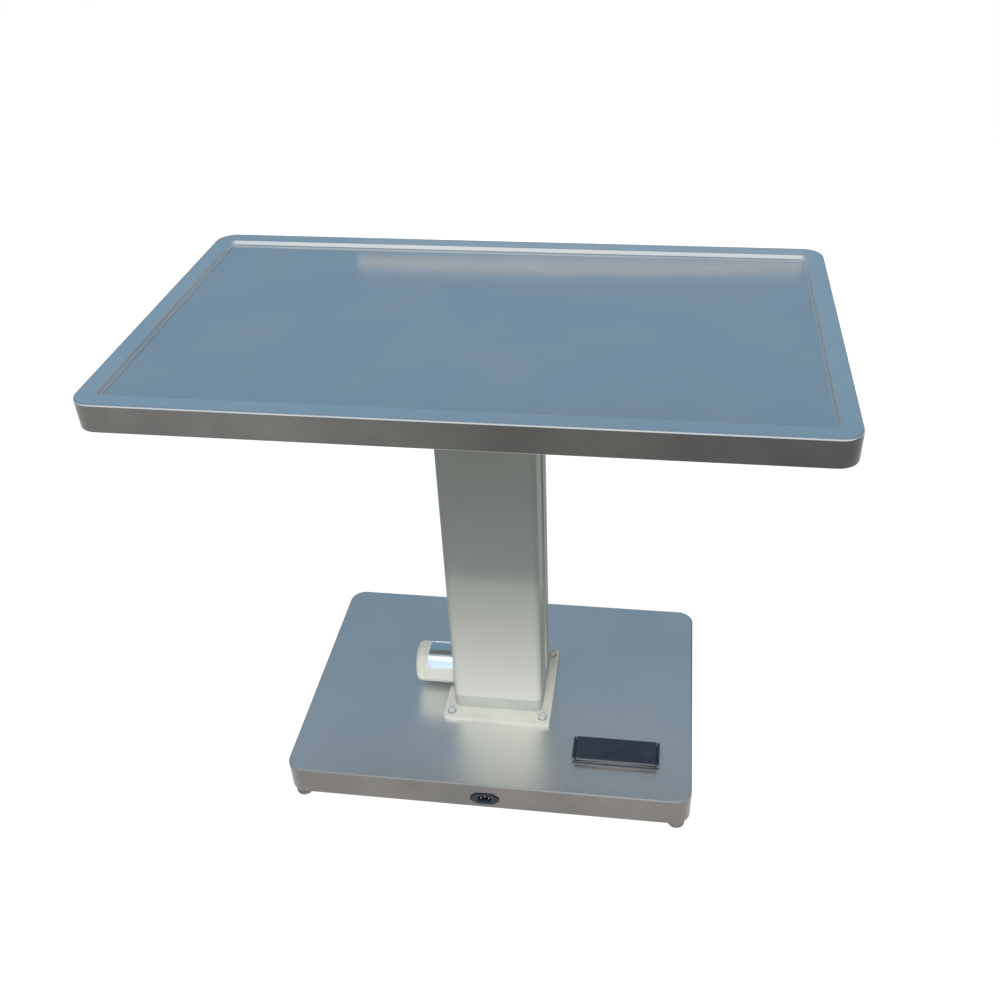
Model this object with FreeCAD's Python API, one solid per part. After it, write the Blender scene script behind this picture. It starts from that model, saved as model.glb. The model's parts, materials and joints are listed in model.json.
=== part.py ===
import FreeCAD, Part
import math
import os
from FreeCAD import Vector

# Veterinary examination table with an electric lifting column.
# Millimetres.  +Z is up, +X is the table's right, -Y is its front.
# The origin is on the floor, under the middle of the table.

# ---------------------------------------------------------------- clearances
RUN_GAP = 0.05          # radial, a turning shaft or ball in its seat
SEAT_GAP = 0.03         # radial, a ring or wheel fitted on its shaft
THREAD_GAP = 0.05       # radial, a screw in its tapped hole
HOLE_GAP = 0.3          # radial, a screw or stud in a plain hole
SLIDE_GAP = 0.3         # a glide pad from the face that slides on it
LOOSE_GAP = 1.0         # a cover round something that must never touch it

# ---------------------------------------------------------------- screw proportions
# each is a share of the screw's diameter
CAP_HEAD_R = 0.8
CAP_SOCKET_FLATS = 0.8
CAP_SOCKET_DEPTH = 0.55
FLAT_HEAD_R = 0.95
FLAT_HEAD_H = 0.5
FLAT_SOCKET_FLATS = 0.55
FLAT_SOCKET_DEPTH = 0.35
NUT_FLATS = 1.6
NUT_H = 0.8
BALL_COUNT = 8
BALL_LAND = 0.5         # of the ball's radius, from the race's middle to each ring

# ---------------------------------------------------------------- table top
TOP_LENGTH = 1050.0
TOP_WIDTH = 600.0
TOP_HEIGHT = 850.0      # top of the border, table lowered
TOP_SKIRT = 44.0
TOP_CORNER_R = 32.0
TOP_EDGE_R = 3.0
TOP_SHEET = 1.5
TOP_HEM = 14.0
BORDER = 29.0
RECESS_DEPTH = 7.0
RECESS_RUN = 2.5
RECESS_CORNER_R = 10.0
BOARD_T = 18.0
BOARD_EDGE_GAP = 3.0

# ---------------------------------------------------------------- subframe
RAIL_W = 40.0
RAIL_H = 30.0
RAIL_WALL = 2.0
RAIL_END_SETBACK = 75.0
RAIL_SPREAD = 300.0
INNER_BAR_SPREAD = 180.0
OUTER_BAR_SPREAD = 760.0
HEAD_X = 240.0
HEAD_Y = 180.0
HEAD_T = 10.0
HEAD_R = 8.0
HEAD_BOLT_D = 8.0
HEAD_BOLT_SPREAD_Y = 120.0
BOARD_SCREW_D = 5.0
BOARD_SCREW_LENGTH = 42.0
BOARD_SCREW_SPREAD = 360.0

# ---------------------------------------------------------------- column
COLUMN_X = 164.0
COLUMN_Y = 140.0
COLUMN_R = 12.0
COLUMN_WALL = 4.0
GROOVE_W = 36.0
GROOVE_D = 3.0
COLUMN_HEAD_GAP = 38.0  # from the outer tube's top to the head plate
COLLAR_H = 28.0
SPIGOT_H = 50.0
SPIGOT_WALL = 6.0
SPIGOT_GAP = 0.2
TOP_RING_T = 8.0
INNER_TUBE_X = 144.0
INNER_TUBE_Y = 120.0
INNER_TUBE_R = 8.0
INNER_TUBE_WALL = 4.0
STROKE = 300.0
PAD_LENGTH = 60.0
PAD_END_GAP = 10.0
PAD_FACE_W = 40.0
PAD_SIDE_W = 20.0
PAD_FACE_SPREAD = 76.0
PAD_SIDE_SPREAD = 80.0
TUBE_SCREW_D = 6.0
TUBE_SCREW_LENGTH = 9.0
TUBE_SCREW_SPREAD = 90.0

# ---------------------------------------------------------------- mount plate
PLATE_X = 198.0
PLATE_Y = 196.0
PLATE_T = 8.0
PLATE_R = 5.0
PLATE_BOLT_D = 8.0
PLATE_BOLT_INSET = 14.0
PLATE_BOLT_LENGTH = 28.0
WASHER_T = 2.0
WASHER_R = 8.0
COLLAR_SCREW_D = 6.0
COLLAR_SCREW_LENGTH = 26.0
COLLAR_SCREW_SPREAD_Y = 96.0

# ---------------------------------------------------------------- worm drive
WORM_MODULE = 2.0
WORM_STARTS = 2
WHEEL_TEETH = 20
WORM_PITCH_R = 10.0
WORM_LENGTH = 36.0
WHEEL_FACE = 14.0
TOOTH_BACKLASH = 1.0
PRESSURE_ANGLE = 20.0
DEDENDUM = 1.2          # in modules
THREAD_SINK = 0.4       # of each thread's root into the worm's core
THREAD_TURNS = 3.5      # swept before it is trimmed to the worm's length
WHEEL_LAYERS = 5
MOTOR_AXIS_HEIGHT = 50.0  # above the base pan
MOTOR_AXIS_Y = 0.0
GEARBOX_LEFT = -50.0
GEARBOX_RIGHT = 48.0
GEARBOX_WALL = 6.0
GEARBOX_BACK_WALL = 4.5
GEARBOX_RIGHT_SKIN = 2.0  # outside the worm's right bearing
GEARBOX_FLOOR = 14.0
GEARBOX_HEIGHT = 64.0
GEARBOX_SIDE_GAP = 1.5
COVER_T = 12.0
EAR_LENGTH = 12.0
EAR_T = 8.0
EAR_Y = 46.0
EAR_SCREW_SPREAD = 30.0
EAR_SCREW_D = 6.0
BEARING_SINK = 1.0      # of the spindle's upper bearing below the cover's top
COVER_SCREW_D = 3.0
COVER_SCREW_LENGTH = 20.0
COVER_SCREW_INSET_X = 3.5
COVER_SCREW_INSET_Y = 2.5

# ---------------------------------------------------------------- spindle
SPINDLE_R = 10.0
SPINDLE_COLLAR_R = 10.5
SPINDLE_COLLAR_T = 3.0
SPINDLE_END_MARGIN = 20.0
STOP_DISC_R = 16.0
STOP_DISC_T = 6.0
STOP_SCREW_D = 6.0
NUT_FLANGE_R = 20.0
NUT_FLANGE_T = 8.0
NUT_BODY_R = 14.0
NUT_BODY_LENGTH = 24.0
NUT_SCREW_D = 4.0
NUT_SCREW_PCR = 17.0
CARRIER_T = 12.0
CARRIER_RISE = 2.0
CARRIER_SCREW_D = 5.0
CARRIER_SCREW_LENGTH = 14.0
CARRIER_SCREW_SPREAD = 24.0
INNER_TUBE_GEARBOX_GAP = 29.0

# bearings: bore radius, outer radius, width, ball radius
LOWER_BEARING = (5.0, 13.0, 8.0, 2.4)
UPPER_BEARING = (7.5, 16.0, 9.0, 2.7)
WORM_BEARING = (5.0, 13.0, 8.0, 2.4)
NECK_BEARING = (6.0, 14.0, 8.0, 2.4)
TAIL_BEARING = (4.0, 11.0, 7.0, 2.0)

# ---------------------------------------------------------------- motor
MOTOR_COVER_R = 38.0
MOTOR_COVER_WALL = 2.0
MOTOR_REACH = 80.0      # from the column's face to the end cap's tip
MOTOR_FLANGE_R = 35.5
MOTOR_FLANGE_T = 6.0
MOTOR_NECK_R = 22.0
MOTOR_NECK_BORE_R = 8.0
MOTOR_CAN_R = 27.0
MOTOR_CAN_WALL = 3.0
MOTOR_CAN_LENGTH = 64.0
MAGNET_T = 7.5
MAGNET_ARC = 110.0
MAGNET_LENGTH = 44.0
ROTOR_R = 15.5
ROTOR_LENGTH = 38.0
WINDING_R = 13.5
WINDING_LENGTH = 4.0
COMMUTATOR_R = 8.0
COMMUTATOR_LENGTH = 7.0
ROTOR_SLOTS = 12
ROTOR_SLOT_R = 1.2
BRUSH_W = 5.0
BRUSH_LENGTH = 10.7
BRUSH_RING_T = 3.0
BRUSH_RING_BORE_R = 13.0
REAR_SHIELD_T = 8.0
END_CAP_LENGTH = 18.0
END_CAP_R = 9.0
END_CAP_LIP = 6.0
END_CAP_SCREW_PCR = 20.0
END_CAP_SCREW_D = 3.0
END_CAP_BOSS_R = 4.0
FLANGE_SCREW_D = 4.0
FLANGE_SCREW_PCR = 18.0
FLANGE_SCREW_LENGTH = 38.0
MOTOR_SHAFT_R = 4.0
NECK_SHAFT_R = 5.5
DRIVE_SHAFT_R = 7.0
SHAFT_END_GAP = 0.5

# ---------------------------------------------------------------- base
BASE_LENGTH = 720.0
BASE_WIDTH = 490.0
BASE_SKIRT = 57.0
BASE_CORNER_R = 29.0
BASE_EDGE_R = 3.0
BASE_SHEET = 1.6
BASE_HEM = 14.0
FOOT_HEIGHT = 15.0
FOOT_R = 15.0
FOOT_CHAMFER = 5.0
FOOT_INSET_X = 24.0
FOOT_INSET_Y = 16.0
STUD_D = 10.0
STUD_LENGTH = 42.0
STUD_ENGAGE = 8.0
BRACKET_T = 4.0
BRACKET_RISE = 15.0     # above the pan's lower edge
BRACKET_X = 46.0
BRACKET_Y = 40.0
REINFORCEMENT_X = 200.0
REINFORCEMENT_Y = 224.0
REINFORCEMENT_T = 6.0
CHANNEL_W = 30.0
CHANNEL_H = 25.0
CHANNEL_T = 3.0
CHANNEL_SPREAD = 236.0
CHANNEL_END_GAP = 2.0

# ---------------------------------------------------------------- control box
BOX_LENGTH = 160.0
BOX_WIDTH = 120.0
BOX_HEIGHT = 40.0
BOX_WALL = 2.5
BOX_R = 6.0
BOX_CENTRE_X = -240.0
BOX_LID_T = 3.0
BOX_SCREW_D = 3.0
BOX_BOSS_R = 4.0
CARD_T = 1.6
CARD_MARGIN = 8.0
CARD_DEPTH = 12.0
CORE_X = 52.0
CORE_Y = 58.0
CORE_T = 16.0
BOBBIN_X = 30.0
BOBBIN_Y = 66.0
BOBBIN_T = 9.0

# ---------------------------------------------------------------- mains inlet
INLET_HEIGHT = 38.0     # of its centre above the floor
INLET_BODY_X = 27.0
INLET_BODY_Z = 19.6
INLET_FLANGE_X = 30.0
INLET_FLANGE_Z = 24.0
INLET_FLANGE_T = 2.5
INLET_EAR_R = 6.0
INLET_WEB_REACH = 3.5   # past the screw
INLET_WEB_RISE = 4.8    # above and below the screw
INLET_SCREW_SPREAD = 40.0
INLET_SCREW_D = 3.0
INLET_DEPTH = 21.0
INLET_CAVITY_X = 24.0
INLET_CAVITY_Z = 16.6
INLET_CAVITY_DEPTH = 17.0
INLET_CAVITY_CHAMFER = 4.0
BLADE_W = 2.0
BLADE_H = 4.0
BLADE_LENGTH = 12.0
BLADE_SPREAD = 14.0
BLADE_EARTH_RISE = 4.0
BLADE_TAIL = 9.0

# ---------------------------------------------------------------- foot switch
SWITCH_X = 225.0        # centre
SWITCH_Y = -151.5
SWITCH_LENGTH = 154.0
SWITCH_WIDTH = 52.0
SWITCH_FLANGE_T = 2.0
SWITCH_TUB_MARGIN = 5.0
SWITCH_TUB_DEPTH = 20.0
SWITCH_WALL = 2.0
SWITCH_CORNER_R = 2.0
SWITCH_STEP = 1.0       # of the side walls and cheeks in from the flange's edge
CHEEK_T = 4.5
CHEEK_H = 12.5
PEDAL_TOP = 14.0        # above the base pan
PEDAL_T = 5.0
PEDAL_TILT = 3.0        # degrees each way
PEDAL_SIDE_GAP = 1.0
PEDAL_EDGE_R = 1.5
PEDAL_HUB_X = 12.0
PEDAL_HUB_Y = 30.0
PEDAL_HUB_MARGIN = 5.0
PIN_R = 2.5
PIN_DEPTH = 6.0         # below the base pan's top face
SPRING_SPREAD = 96.0
SPRING_R = 5.5
SPRING_WIRE_R = 0.7
SPRING_PITCH = 4.0
MICROSWITCH_X = 20.0
MICROSWITCH_Y = 6.4
MICROSWITCH_SPREAD = 52.0
PLUNGER_R = 1.4
PLUNGER_LENGTH = 3.0

# ---------------------------------------------------------------- leads
LEAD_R = 2.5
LEAD_HOLE_R = 6.0
LEAD_X = -31.0          # where the motor's lead rises into the column
LEAD_Y = -30.0
LEAD_WALL_HOLE_R = 4.0
LEAD_FLANGE_HOLE_R = 3.0

# ---------------------------------------------------------------- levels (z)
BASE_BOTTOM = FOOT_HEIGHT
BASE_TOP = BASE_BOTTOM + BASE_SKIRT
BASE_CEILING = BASE_TOP - BASE_SHEET
PLATE_TOP = BASE_TOP + PLATE_T
COLLAR_TOP = PLATE_TOP + COLLAR_H
SPIGOT_TOP = COLLAR_TOP + SPIGOT_H
SKIRT_BOTTOM = TOP_HEIGHT - TOP_SKIRT
WORK_SURFACE = TOP_HEIGHT - RECESS_DEPTH
BOARD_TOP = WORK_SURFACE - TOP_SHEET
RAIL_TOP = BOARD_TOP - BOARD_T
HEAD_TOP = RAIL_TOP - RAIL_H
HEAD_BOTTOM = HEAD_TOP - HEAD_T
OUTER_TOP = HEAD_BOTTOM - COLUMN_HEAD_GAP
MOTOR_Z = BASE_TOP + MOTOR_AXIS_HEIGHT
COVER_BOTTOM = PLATE_TOP + GEARBOX_HEIGHT
COVER_TOP = COVER_BOTTOM + COVER_T
GEARBOX_FLOOR_TOP = PLATE_TOP + GEARBOX_FLOOR
LOWER_BEARING_Z = GEARBOX_FLOOR_TOP - LOWER_BEARING[2]
UPPER_BEARING_Z = COVER_TOP - BEARING_SINK - UPPER_BEARING[2]
SPINDLE_SHOULDER = UPPER_BEARING_Z + UPPER_BEARING[2]
INNER_TUBE_BOTTOM = COVER_TOP + INNER_TUBE_GEARBOX_GAP
CARRIER_BOTTOM = INNER_TUBE_BOTTOM + CARRIER_RISE
CARRIER_TOP = CARRIER_BOTTOM + CARRIER_T
NUT_TOP = CARRIER_TOP + NUT_FLANGE_T
SPINDLE_TOP = NUT_TOP + STROKE + SPINDLE_END_MARGIN
BRACKET_BOTTOM = BASE_BOTTOM + BRACKET_RISE
BOX_BOTTOM = BASE_CEILING - BOX_HEIGHT
PIN_Z = BASE_TOP - PIN_DEPTH
SWITCH_FLANGE_TOP = BASE_TOP + SWITCH_FLANGE_T
SWITCH_FLOOR = BASE_TOP - SWITCH_TUB_DEPTH
PEDAL_UNDERSIDE = BASE_TOP + PEDAL_TOP - PEDAL_T

# ---------------------------------------------------------------- plan places
COLUMN_FACE = COLUMN_X / 2
WHEEL_PITCH_R = WORM_MODULE * WHEEL_TEETH / 2
WHEEL_TIP_R = WHEEL_PITCH_R + WORM_MODULE
WORM_TIP_R = WORM_PITCH_R + WORM_MODULE
WORM_ROOT_R = WORM_PITCH_R - DEDENDUM * WORM_MODULE
WORM_PITCH = math.pi * WORM_MODULE
WORM_LEAD = WORM_PITCH * WORM_STARTS
LEAD_ANGLE = math.atan2(WORM_LEAD, 2 * math.pi * WORM_PITCH_R)
SPINDLE_Y = MOTOR_AXIS_Y + WORM_PITCH_R + WHEEL_PITCH_R
GEARBOX_FRONT = MOTOR_AXIS_Y - WORM_TIP_R - GEARBOX_SIDE_GAP - GEARBOX_WALL
GEARBOX_BACK = SPINDLE_Y + WHEEL_TIP_R + GEARBOX_SIDE_GAP + GEARBOX_BACK_WALL
WORM_SEAT_X = GEARBOX_RIGHT - GEARBOX_RIGHT_SKIN - WORM_BEARING[2]
SPIGOT_HALF_X = COLUMN_FACE - COLUMN_WALL - GROOVE_D - SPIGOT_GAP
SPIGOT_HALF_Y = COLUMN_Y / 2 - COLUMN_WALL - SPIGOT_GAP
FOOT_X = BASE_LENGTH / 2 - FOOT_INSET_X
FOOT_Y = BASE_WIDTH / 2 - FOOT_INSET_Y
PLATE_BOLT_X = PLATE_X / 2 - PLATE_BOLT_INSET
PLATE_BOLT_Y = PLATE_Y / 2 - PLATE_BOLT_INSET
COLLAR_SCREW_X = (COLUMN_FACE + SPIGOT_HALF_X - SPIGOT_WALL) / 2
MOTOR_CAN_START = -COLUMN_FACE - MOTOR_FLANGE_T
MOTOR_CAN_END = MOTOR_CAN_START - MOTOR_CAN_LENGTH
END_CAP_TIP = -COLUMN_FACE - MOTOR_REACH
END_CAP_START = END_CAP_TIP + END_CAP_LENGTH
FRONT_FACE = -BASE_WIDTH / 2

UP = Vector(0, 0, 1)
DOWN = Vector(0, 0, -1)
RIGHT = Vector(1, 0, 0)
LEFT = Vector(-1, 0, 0)
FRONT = Vector(0, -1, 0)
BACK = Vector(0, 1, 0)


# ---------------------------------------------------------------- shape helpers
def box(x0, x1, y0, y1, z0, z1):
    """A block between two values on each axis."""
    return Part.makeBox(x1 - x0, y1 - y0, z1 - z0, Vector(x0, y0, z0))


def rod(start, direction, radius, length):
    """A cylinder from start along direction."""
    return Part.makeCylinder(radius, length, start, direction)


def ring(start, direction, outer, inner, length):
    """A tube from start along direction."""
    return rod(start, direction, outer, length).cut(rod(start, direction, inner, length))


def rounded_wire(half_x, half_y, radius, z, cx=0.0, cy=0.0):
    """A closed rounded rectangle in a level plane."""
    edges = []
    corners = ((1, 1, 0), (-1, 1, 90), (-1, -1, 180), (1, -1, 270))
    points = []
    for sx, sy, start in corners:
        centre = Vector(cx + sx * (half_x - radius), cy + sy * (half_y - radius), z)
        arc = Part.Arc(Part.Circle(centre, UP, radius), math.radians(start), math.radians(start + 90))
        points.append(arc.toShape())
    for index, arc in enumerate(points):
        edges.append(arc)
        after = points[(index + 1) % len(points)]
        edges.append(Part.makeLine(arc.Vertexes[-1].Point, after.Vertexes[0].Point))
    return Part.Wire(edges)


def slab(half_x, half_y, radius, z0, z1, cx=0.0, cy=0.0):
    """A level slab with rounded upright corners."""
    face = Part.Face(rounded_wire(half_x, half_y, radius, z0, cx, cy))
    return face.extrude(Vector(0, 0, z1 - z0))


def soften_top(shape, z, radius):
    """Round every edge that lies in the level plane z."""
    edges = [e for e in shape.Edges if all(abs(v.Point.z - z) < 1e-6 for v in e.Vertexes)]
    return shape.makeFillet(radius, edges)


def fuse_all(shapes):
    """Join shapes into one and merge their split faces."""
    result = shapes[0]
    for other in shapes[1:]:
        result = result.fuse(other)
    return result.removeSplitter()


def cut_all(shape, tools):
    """Cut every tool from a shape."""
    for tool in tools:
        shape = shape.cut(tool)
    return shape


def prism(points, direction, length):
    """A polygon of 3-D points pushed along direction."""
    face = Part.Face(Part.makePolygon(points + [points[0]]))
    return face.extrude(direction * length)


def hexagon(seat, direction, across_flats, length):
    """A hexagonal prism that stands on seat."""
    radius = across_flats / math.sqrt(3)
    points = []
    for i in range(6):
        angle = math.radians(60 * i)
        points.append(Vector(radius * math.cos(angle), radius * math.sin(angle), 0))
    shape = prism(points, UP, length)
    turn = FreeCAD.Rotation(UP, direction)
    shape.Placement = FreeCAD.Placement(seat, turn)
    return shape


def cap_screw(seat, direction, diameter, length):
    """A socket head cap screw: seat is under its head, direction points to its tip."""
    head = rod(seat, direction * -1, CAP_HEAD_R * diameter, diameter)
    shank = rod(seat, direction, diameter / 2, length)
    socket = hexagon(seat - direction * diameter, direction, CAP_SOCKET_FLATS * diameter,
                     CAP_SOCKET_DEPTH * diameter)
    return fuse_all([head, shank]).cut(socket)


def flat_screw(face_point, direction, diameter, length):
    """A countersunk screw whose head lies flush at face_point."""
    head = Part.makeCone(diameter * FLAT_HEAD_R, diameter / 2, diameter * FLAT_HEAD_H, face_point, direction)
    shank = rod(face_point, direction, diameter / 2, length)
    socket = hexagon(face_point, direction, FLAT_SOCKET_FLATS * diameter, FLAT_SOCKET_DEPTH * diameter)
    return fuse_all([head, shank]).cut(socket)


def flat_screw_hole(face_point, direction, diameter, length):
    """The countersunk clearance hole for flat_screw."""
    head = Part.makeCone(diameter * FLAT_HEAD_R + HOLE_GAP, diameter / 2 + HOLE_GAP,
                         diameter * FLAT_HEAD_H, face_point, direction)
    shank = rod(face_point, direction, diameter / 2 + HOLE_GAP, length)
    return head.fuse(shank)


def tapped_hole(start, direction, diameter, length):
    """The hole that a screw's thread fills."""
    return rod(start, direction, diameter / 2 + THREAD_GAP, length)


def clear_hole(start, direction, diameter, length):
    """The plain hole that a screw passes through."""
    return rod(start, direction, diameter / 2 + HOLE_GAP, length)


def hex_nut(seat, direction, diameter):
    """A nut that stands on seat."""
    body = hexagon(seat, direction, NUT_FLATS * diameter, NUT_H * diameter)
    return body.cut(rod(seat, direction, diameter / 2 + THREAD_GAP, NUT_H * diameter))


def bearing_parts(size, start, direction):
    """A ball bearing: its inner ring, and its outer ring with the balls."""
    bore_r, outer_r, width, ball_r = size
    middle_r = (bore_r + outer_r) / 2
    land = ball_r * BALL_LAND
    inner = ring(start, direction, middle_r - land, bore_r + SEAT_GAP, width)
    outer = ring(start, direction, outer_r - SEAT_GAP, middle_r + land, width)
    centre = start + direction * (width / 2)
    groove = Part.makeTorus(middle_r, ball_r + RUN_GAP, centre, direction)
    inner = inner.cut(groove)
    outer = outer.cut(groove)
    side = direction.cross(Vector(direction.y, direction.z, direction.x))
    side.normalize()
    balls = []
    for i in range(BALL_COUNT):
        arm = FreeCAD.Rotation(direction, 360 * i / BALL_COUNT).multVec(side)
        balls.append(Part.makeSphere(ball_r, centre + arm * middle_r))
    return inner, [outer] + balls


def bearing_pocket(size, start, direction):
    """The seat that a bearing's outer ring fills."""
    return rod(start, direction, size[1], size[2])


def four_corners(x, y):
    """The four mirror places of a point in plan."""
    return [(x, y), (-x, y), (-x, -y), (x, -y)]


# ---------------------------------------------------------------- table top
def recess_block(grow, z_low):
    """The work surface's recess, larger by grow, from z_low up past the border."""
    half_x = TOP_LENGTH / 2 - BORDER + grow
    half_y = TOP_WIDTH / 2 - BORDER + grow
    upper = rounded_wire(half_x, half_y, RECESS_CORNER_R + grow, TOP_HEIGHT)
    run = RECESS_RUN * (TOP_HEIGHT - z_low) / RECESS_DEPTH
    lower = rounded_wire(half_x - run, half_y - run, RECESS_CORNER_R + grow, z_low)
    return Part.makeLoft([lower, upper], True, True)


def top_tray():
    """Pressed stainless tray: raised border, recessed work surface, skirt and hem."""
    half_x = TOP_LENGTH / 2
    half_y = TOP_WIDTH / 2
    outer = slab(half_x, half_y, TOP_CORNER_R, SKIRT_BOTTOM, TOP_HEIGHT)
    outer = soften_top(outer, TOP_HEIGHT, TOP_EDGE_R)
    inner_r = TOP_CORNER_R - TOP_SHEET
    void = slab(half_x - TOP_SHEET, half_y - TOP_SHEET, inner_r, SKIRT_BOTTOM, TOP_HEIGHT - TOP_SHEET)
    void = soften_top(void, TOP_HEIGHT - TOP_SHEET, TOP_EDGE_R - TOP_SHEET)
    void = void.cut(recess_block(TOP_SHEET, BOARD_TOP))
    hem_top = SKIRT_BOTTOM + TOP_SHEET
    hem = slab(half_x - TOP_SHEET / 2, half_y - TOP_SHEET / 2, inner_r, SKIRT_BOTTOM, hem_top)
    opening = slab(half_x - TOP_HEM, half_y - TOP_HEM, inner_r, SKIRT_BOTTOM, hem_top)
    shell = outer.cut(void).fuse(hem.cut(opening))
    return [shell.cut(recess_block(0.0, WORK_SURFACE)).removeSplitter()]


def top_core_board():
    """Board bonded under the tray."""
    inset = TOP_SHEET + BOARD_EDGE_GAP
    radius = TOP_CORNER_R - inset
    board = slab(TOP_LENGTH / 2 - inset, TOP_WIDTH / 2 - inset, radius, RAIL_TOP, BOARD_TOP)
    return [cut_all(board, board_screw_holes())]


def board_screw_places():
    """Two rows of screws, one up through each rail."""
    places = []
    for i in range(-1, 2):
        for side in (-1, 1):
            places.append((i * BOARD_SCREW_SPREAD, side * RAIL_SPREAD / 2))
    return places


def board_screws():
    """Cap screws that hold the board down on the rails."""
    seat = HEAD_TOP
    return [cap_screw(Vector(x, y, seat), UP, BOARD_SCREW_D, BOARD_SCREW_LENGTH)
            for x, y in board_screw_places()]


def board_screw_holes():
    """Pilot holes in the board."""
    return [tapped_hole(Vector(x, y, HEAD_TOP), UP, BOARD_SCREW_D, BOARD_SCREW_LENGTH)
            for x, y in board_screw_places()]


def square_tube_x(x0, x1, y_mid):
    """A rectangular tube along X."""
    outer = box(x0, x1, y_mid - RAIL_W / 2, y_mid + RAIL_W / 2, HEAD_TOP, RAIL_TOP)
    inner = box(x0, x1, y_mid - RAIL_W / 2 + RAIL_WALL, y_mid + RAIL_W / 2 - RAIL_WALL,
                HEAD_TOP + RAIL_WALL, RAIL_TOP - RAIL_WALL)
    return outer.cut(inner)


def subframe_rails():
    """Two long rails under the board."""
    half = TOP_LENGTH / 2 - RAIL_END_SETBACK
    holes = [clear_hole(Vector(x, y, HEAD_TOP), UP, BOARD_SCREW_D, RAIL_H)
             for x, y in board_screw_places()]
    rails = []
    for side in (-1, 1):
        rails.append(cut_all(square_tube_x(-half, half, side * RAIL_SPREAD / 2), holes))
    return rails


def subframe_crossbars():
    """Four bars welded between the rails; the inner pair carries the head plate."""
    half_y = RAIL_SPREAD / 2 - RAIL_W / 2
    bars = []
    for spread in (INNER_BAR_SPREAD, OUTER_BAR_SPREAD):
        for side in (-1, 1):
            x = side * spread / 2
            outer = box(x - RAIL_W / 2, x + RAIL_W / 2, -half_y, half_y, HEAD_TOP, RAIL_TOP)
            inner = box(x - RAIL_W / 2 + RAIL_WALL, x + RAIL_W / 2 - RAIL_WALL, -half_y, half_y,
                        HEAD_TOP + RAIL_WALL, RAIL_TOP - RAIL_WALL)
            bars.append(outer.cut(inner))
    holes = [tapped_hole(Vector(x, y, HEAD_TOP), UP, HEAD_BOLT_D, RAIL_WALL)
             for x, y in head_bolt_places()]
    return [cut_all(bar, holes) for bar in bars]


def head_bolt_places():
    """Four bolts through the head plate into the inner crossbars."""
    return four_corners(INNER_BAR_SPREAD / 2, HEAD_BOLT_SPREAD_Y / 2)


def head_plate():
    """Flange welded on the inner tube's top."""
    plate = slab(HEAD_X / 2, HEAD_Y / 2, HEAD_R, HEAD_BOTTOM, HEAD_TOP)
    holes = [clear_hole(Vector(x, y, HEAD_BOTTOM), UP, HEAD_BOLT_D, HEAD_T)
             for x, y in head_bolt_places()]
    return [cut_all(plate, holes)]


def head_plate_bolts():
    """Cap screws from below into the crossbars."""
    length = HEAD_T + RAIL_WALL + HEAD_BOLT_D
    return [cap_screw(Vector(x, y, HEAD_BOTTOM), UP, HEAD_BOLT_D, length)
            for x, y in head_bolt_places()]


# ---------------------------------------------------------------- column
def column_section(z0, z1):
    """The column's outer outline, grooved down both sides."""
    body = slab(COLUMN_FACE, COLUMN_Y / 2, COLUMN_R, z0, z1)
    for side in (-1, 1):
        inner = side * (COLUMN_FACE - GROOVE_D)
        outer = side * (COLUMN_FACE + GROOVE_D)
        pair = sorted((inner, outer))
        body = body.cut(box(pair[0], pair[1], -GROOVE_W / 2, GROOVE_W / 2, z0, z1))
    return body


def column_bore(z0, z1):
    """The outer tube's inside, kept clear of the grooves' backs."""
    half_x = COLUMN_FACE - COLUMN_WALL
    radius = COLUMN_R - COLUMN_WALL
    bore = slab(half_x, COLUMN_Y / 2 - COLUMN_WALL, radius, z0, z1)
    back = GROOVE_W / 2 + COLUMN_WALL
    for side in (-1, 1):
        inner = side * (half_x - GROOVE_D)
        outer = side * COLUMN_FACE
        pair = sorted((inner, outer))
        bore = bore.cut(box(pair[0], pair[1], -back, back, z0, z1))
    return bore


def tube_screw_places():
    """Screws that fix the outer tube on its spigot: back face and right groove."""
    z = (COLLAR_TOP + SPIGOT_TOP) / 2
    back_y = COLUMN_Y / 2
    places = []
    for side in (-1, 1):
        places.append((Vector(side * TUBE_SCREW_SPREAD / 2, back_y, z), FRONT))
    places.append((Vector(COLUMN_FACE - GROOVE_D, 0, z), LEFT))
    return places


def motor_wall_holes():
    """The round hole for the motor's neck and the one for its lead, through the left wall."""
    reach = COLUMN_X / 4
    start = -COLUMN_FACE - 1.0
    neck = rod(Vector(start, MOTOR_AXIS_Y, MOTOR_Z), RIGHT, MOTOR_NECK_R + HOLE_GAP, reach)
    lead = rod(Vector(start, LEAD_Y, MOTOR_Z), RIGHT, LEAD_WALL_HOLE_R, reach)
    return [neck, lead]


def outer_column_tube():
    """Painted outer profile, fixed on the foot's spigot."""
    tube = column_section(COLLAR_TOP, OUTER_TOP).cut(column_bore(COLLAR_TOP, OUTER_TOP))
    tube = cut_all(tube, motor_wall_holes())
    for point, direction in tube_screw_places():
        tube = tube.cut(flat_screw_hole(point, direction, TUBE_SCREW_D, COLUMN_WALL))
    return [tube]


def column_tube_screws():
    """Countersunk screws through the tube into the spigot."""
    return [flat_screw(point, direction, TUBE_SCREW_D, TUBE_SCREW_LENGTH)
            for point, direction in tube_screw_places()]


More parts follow.
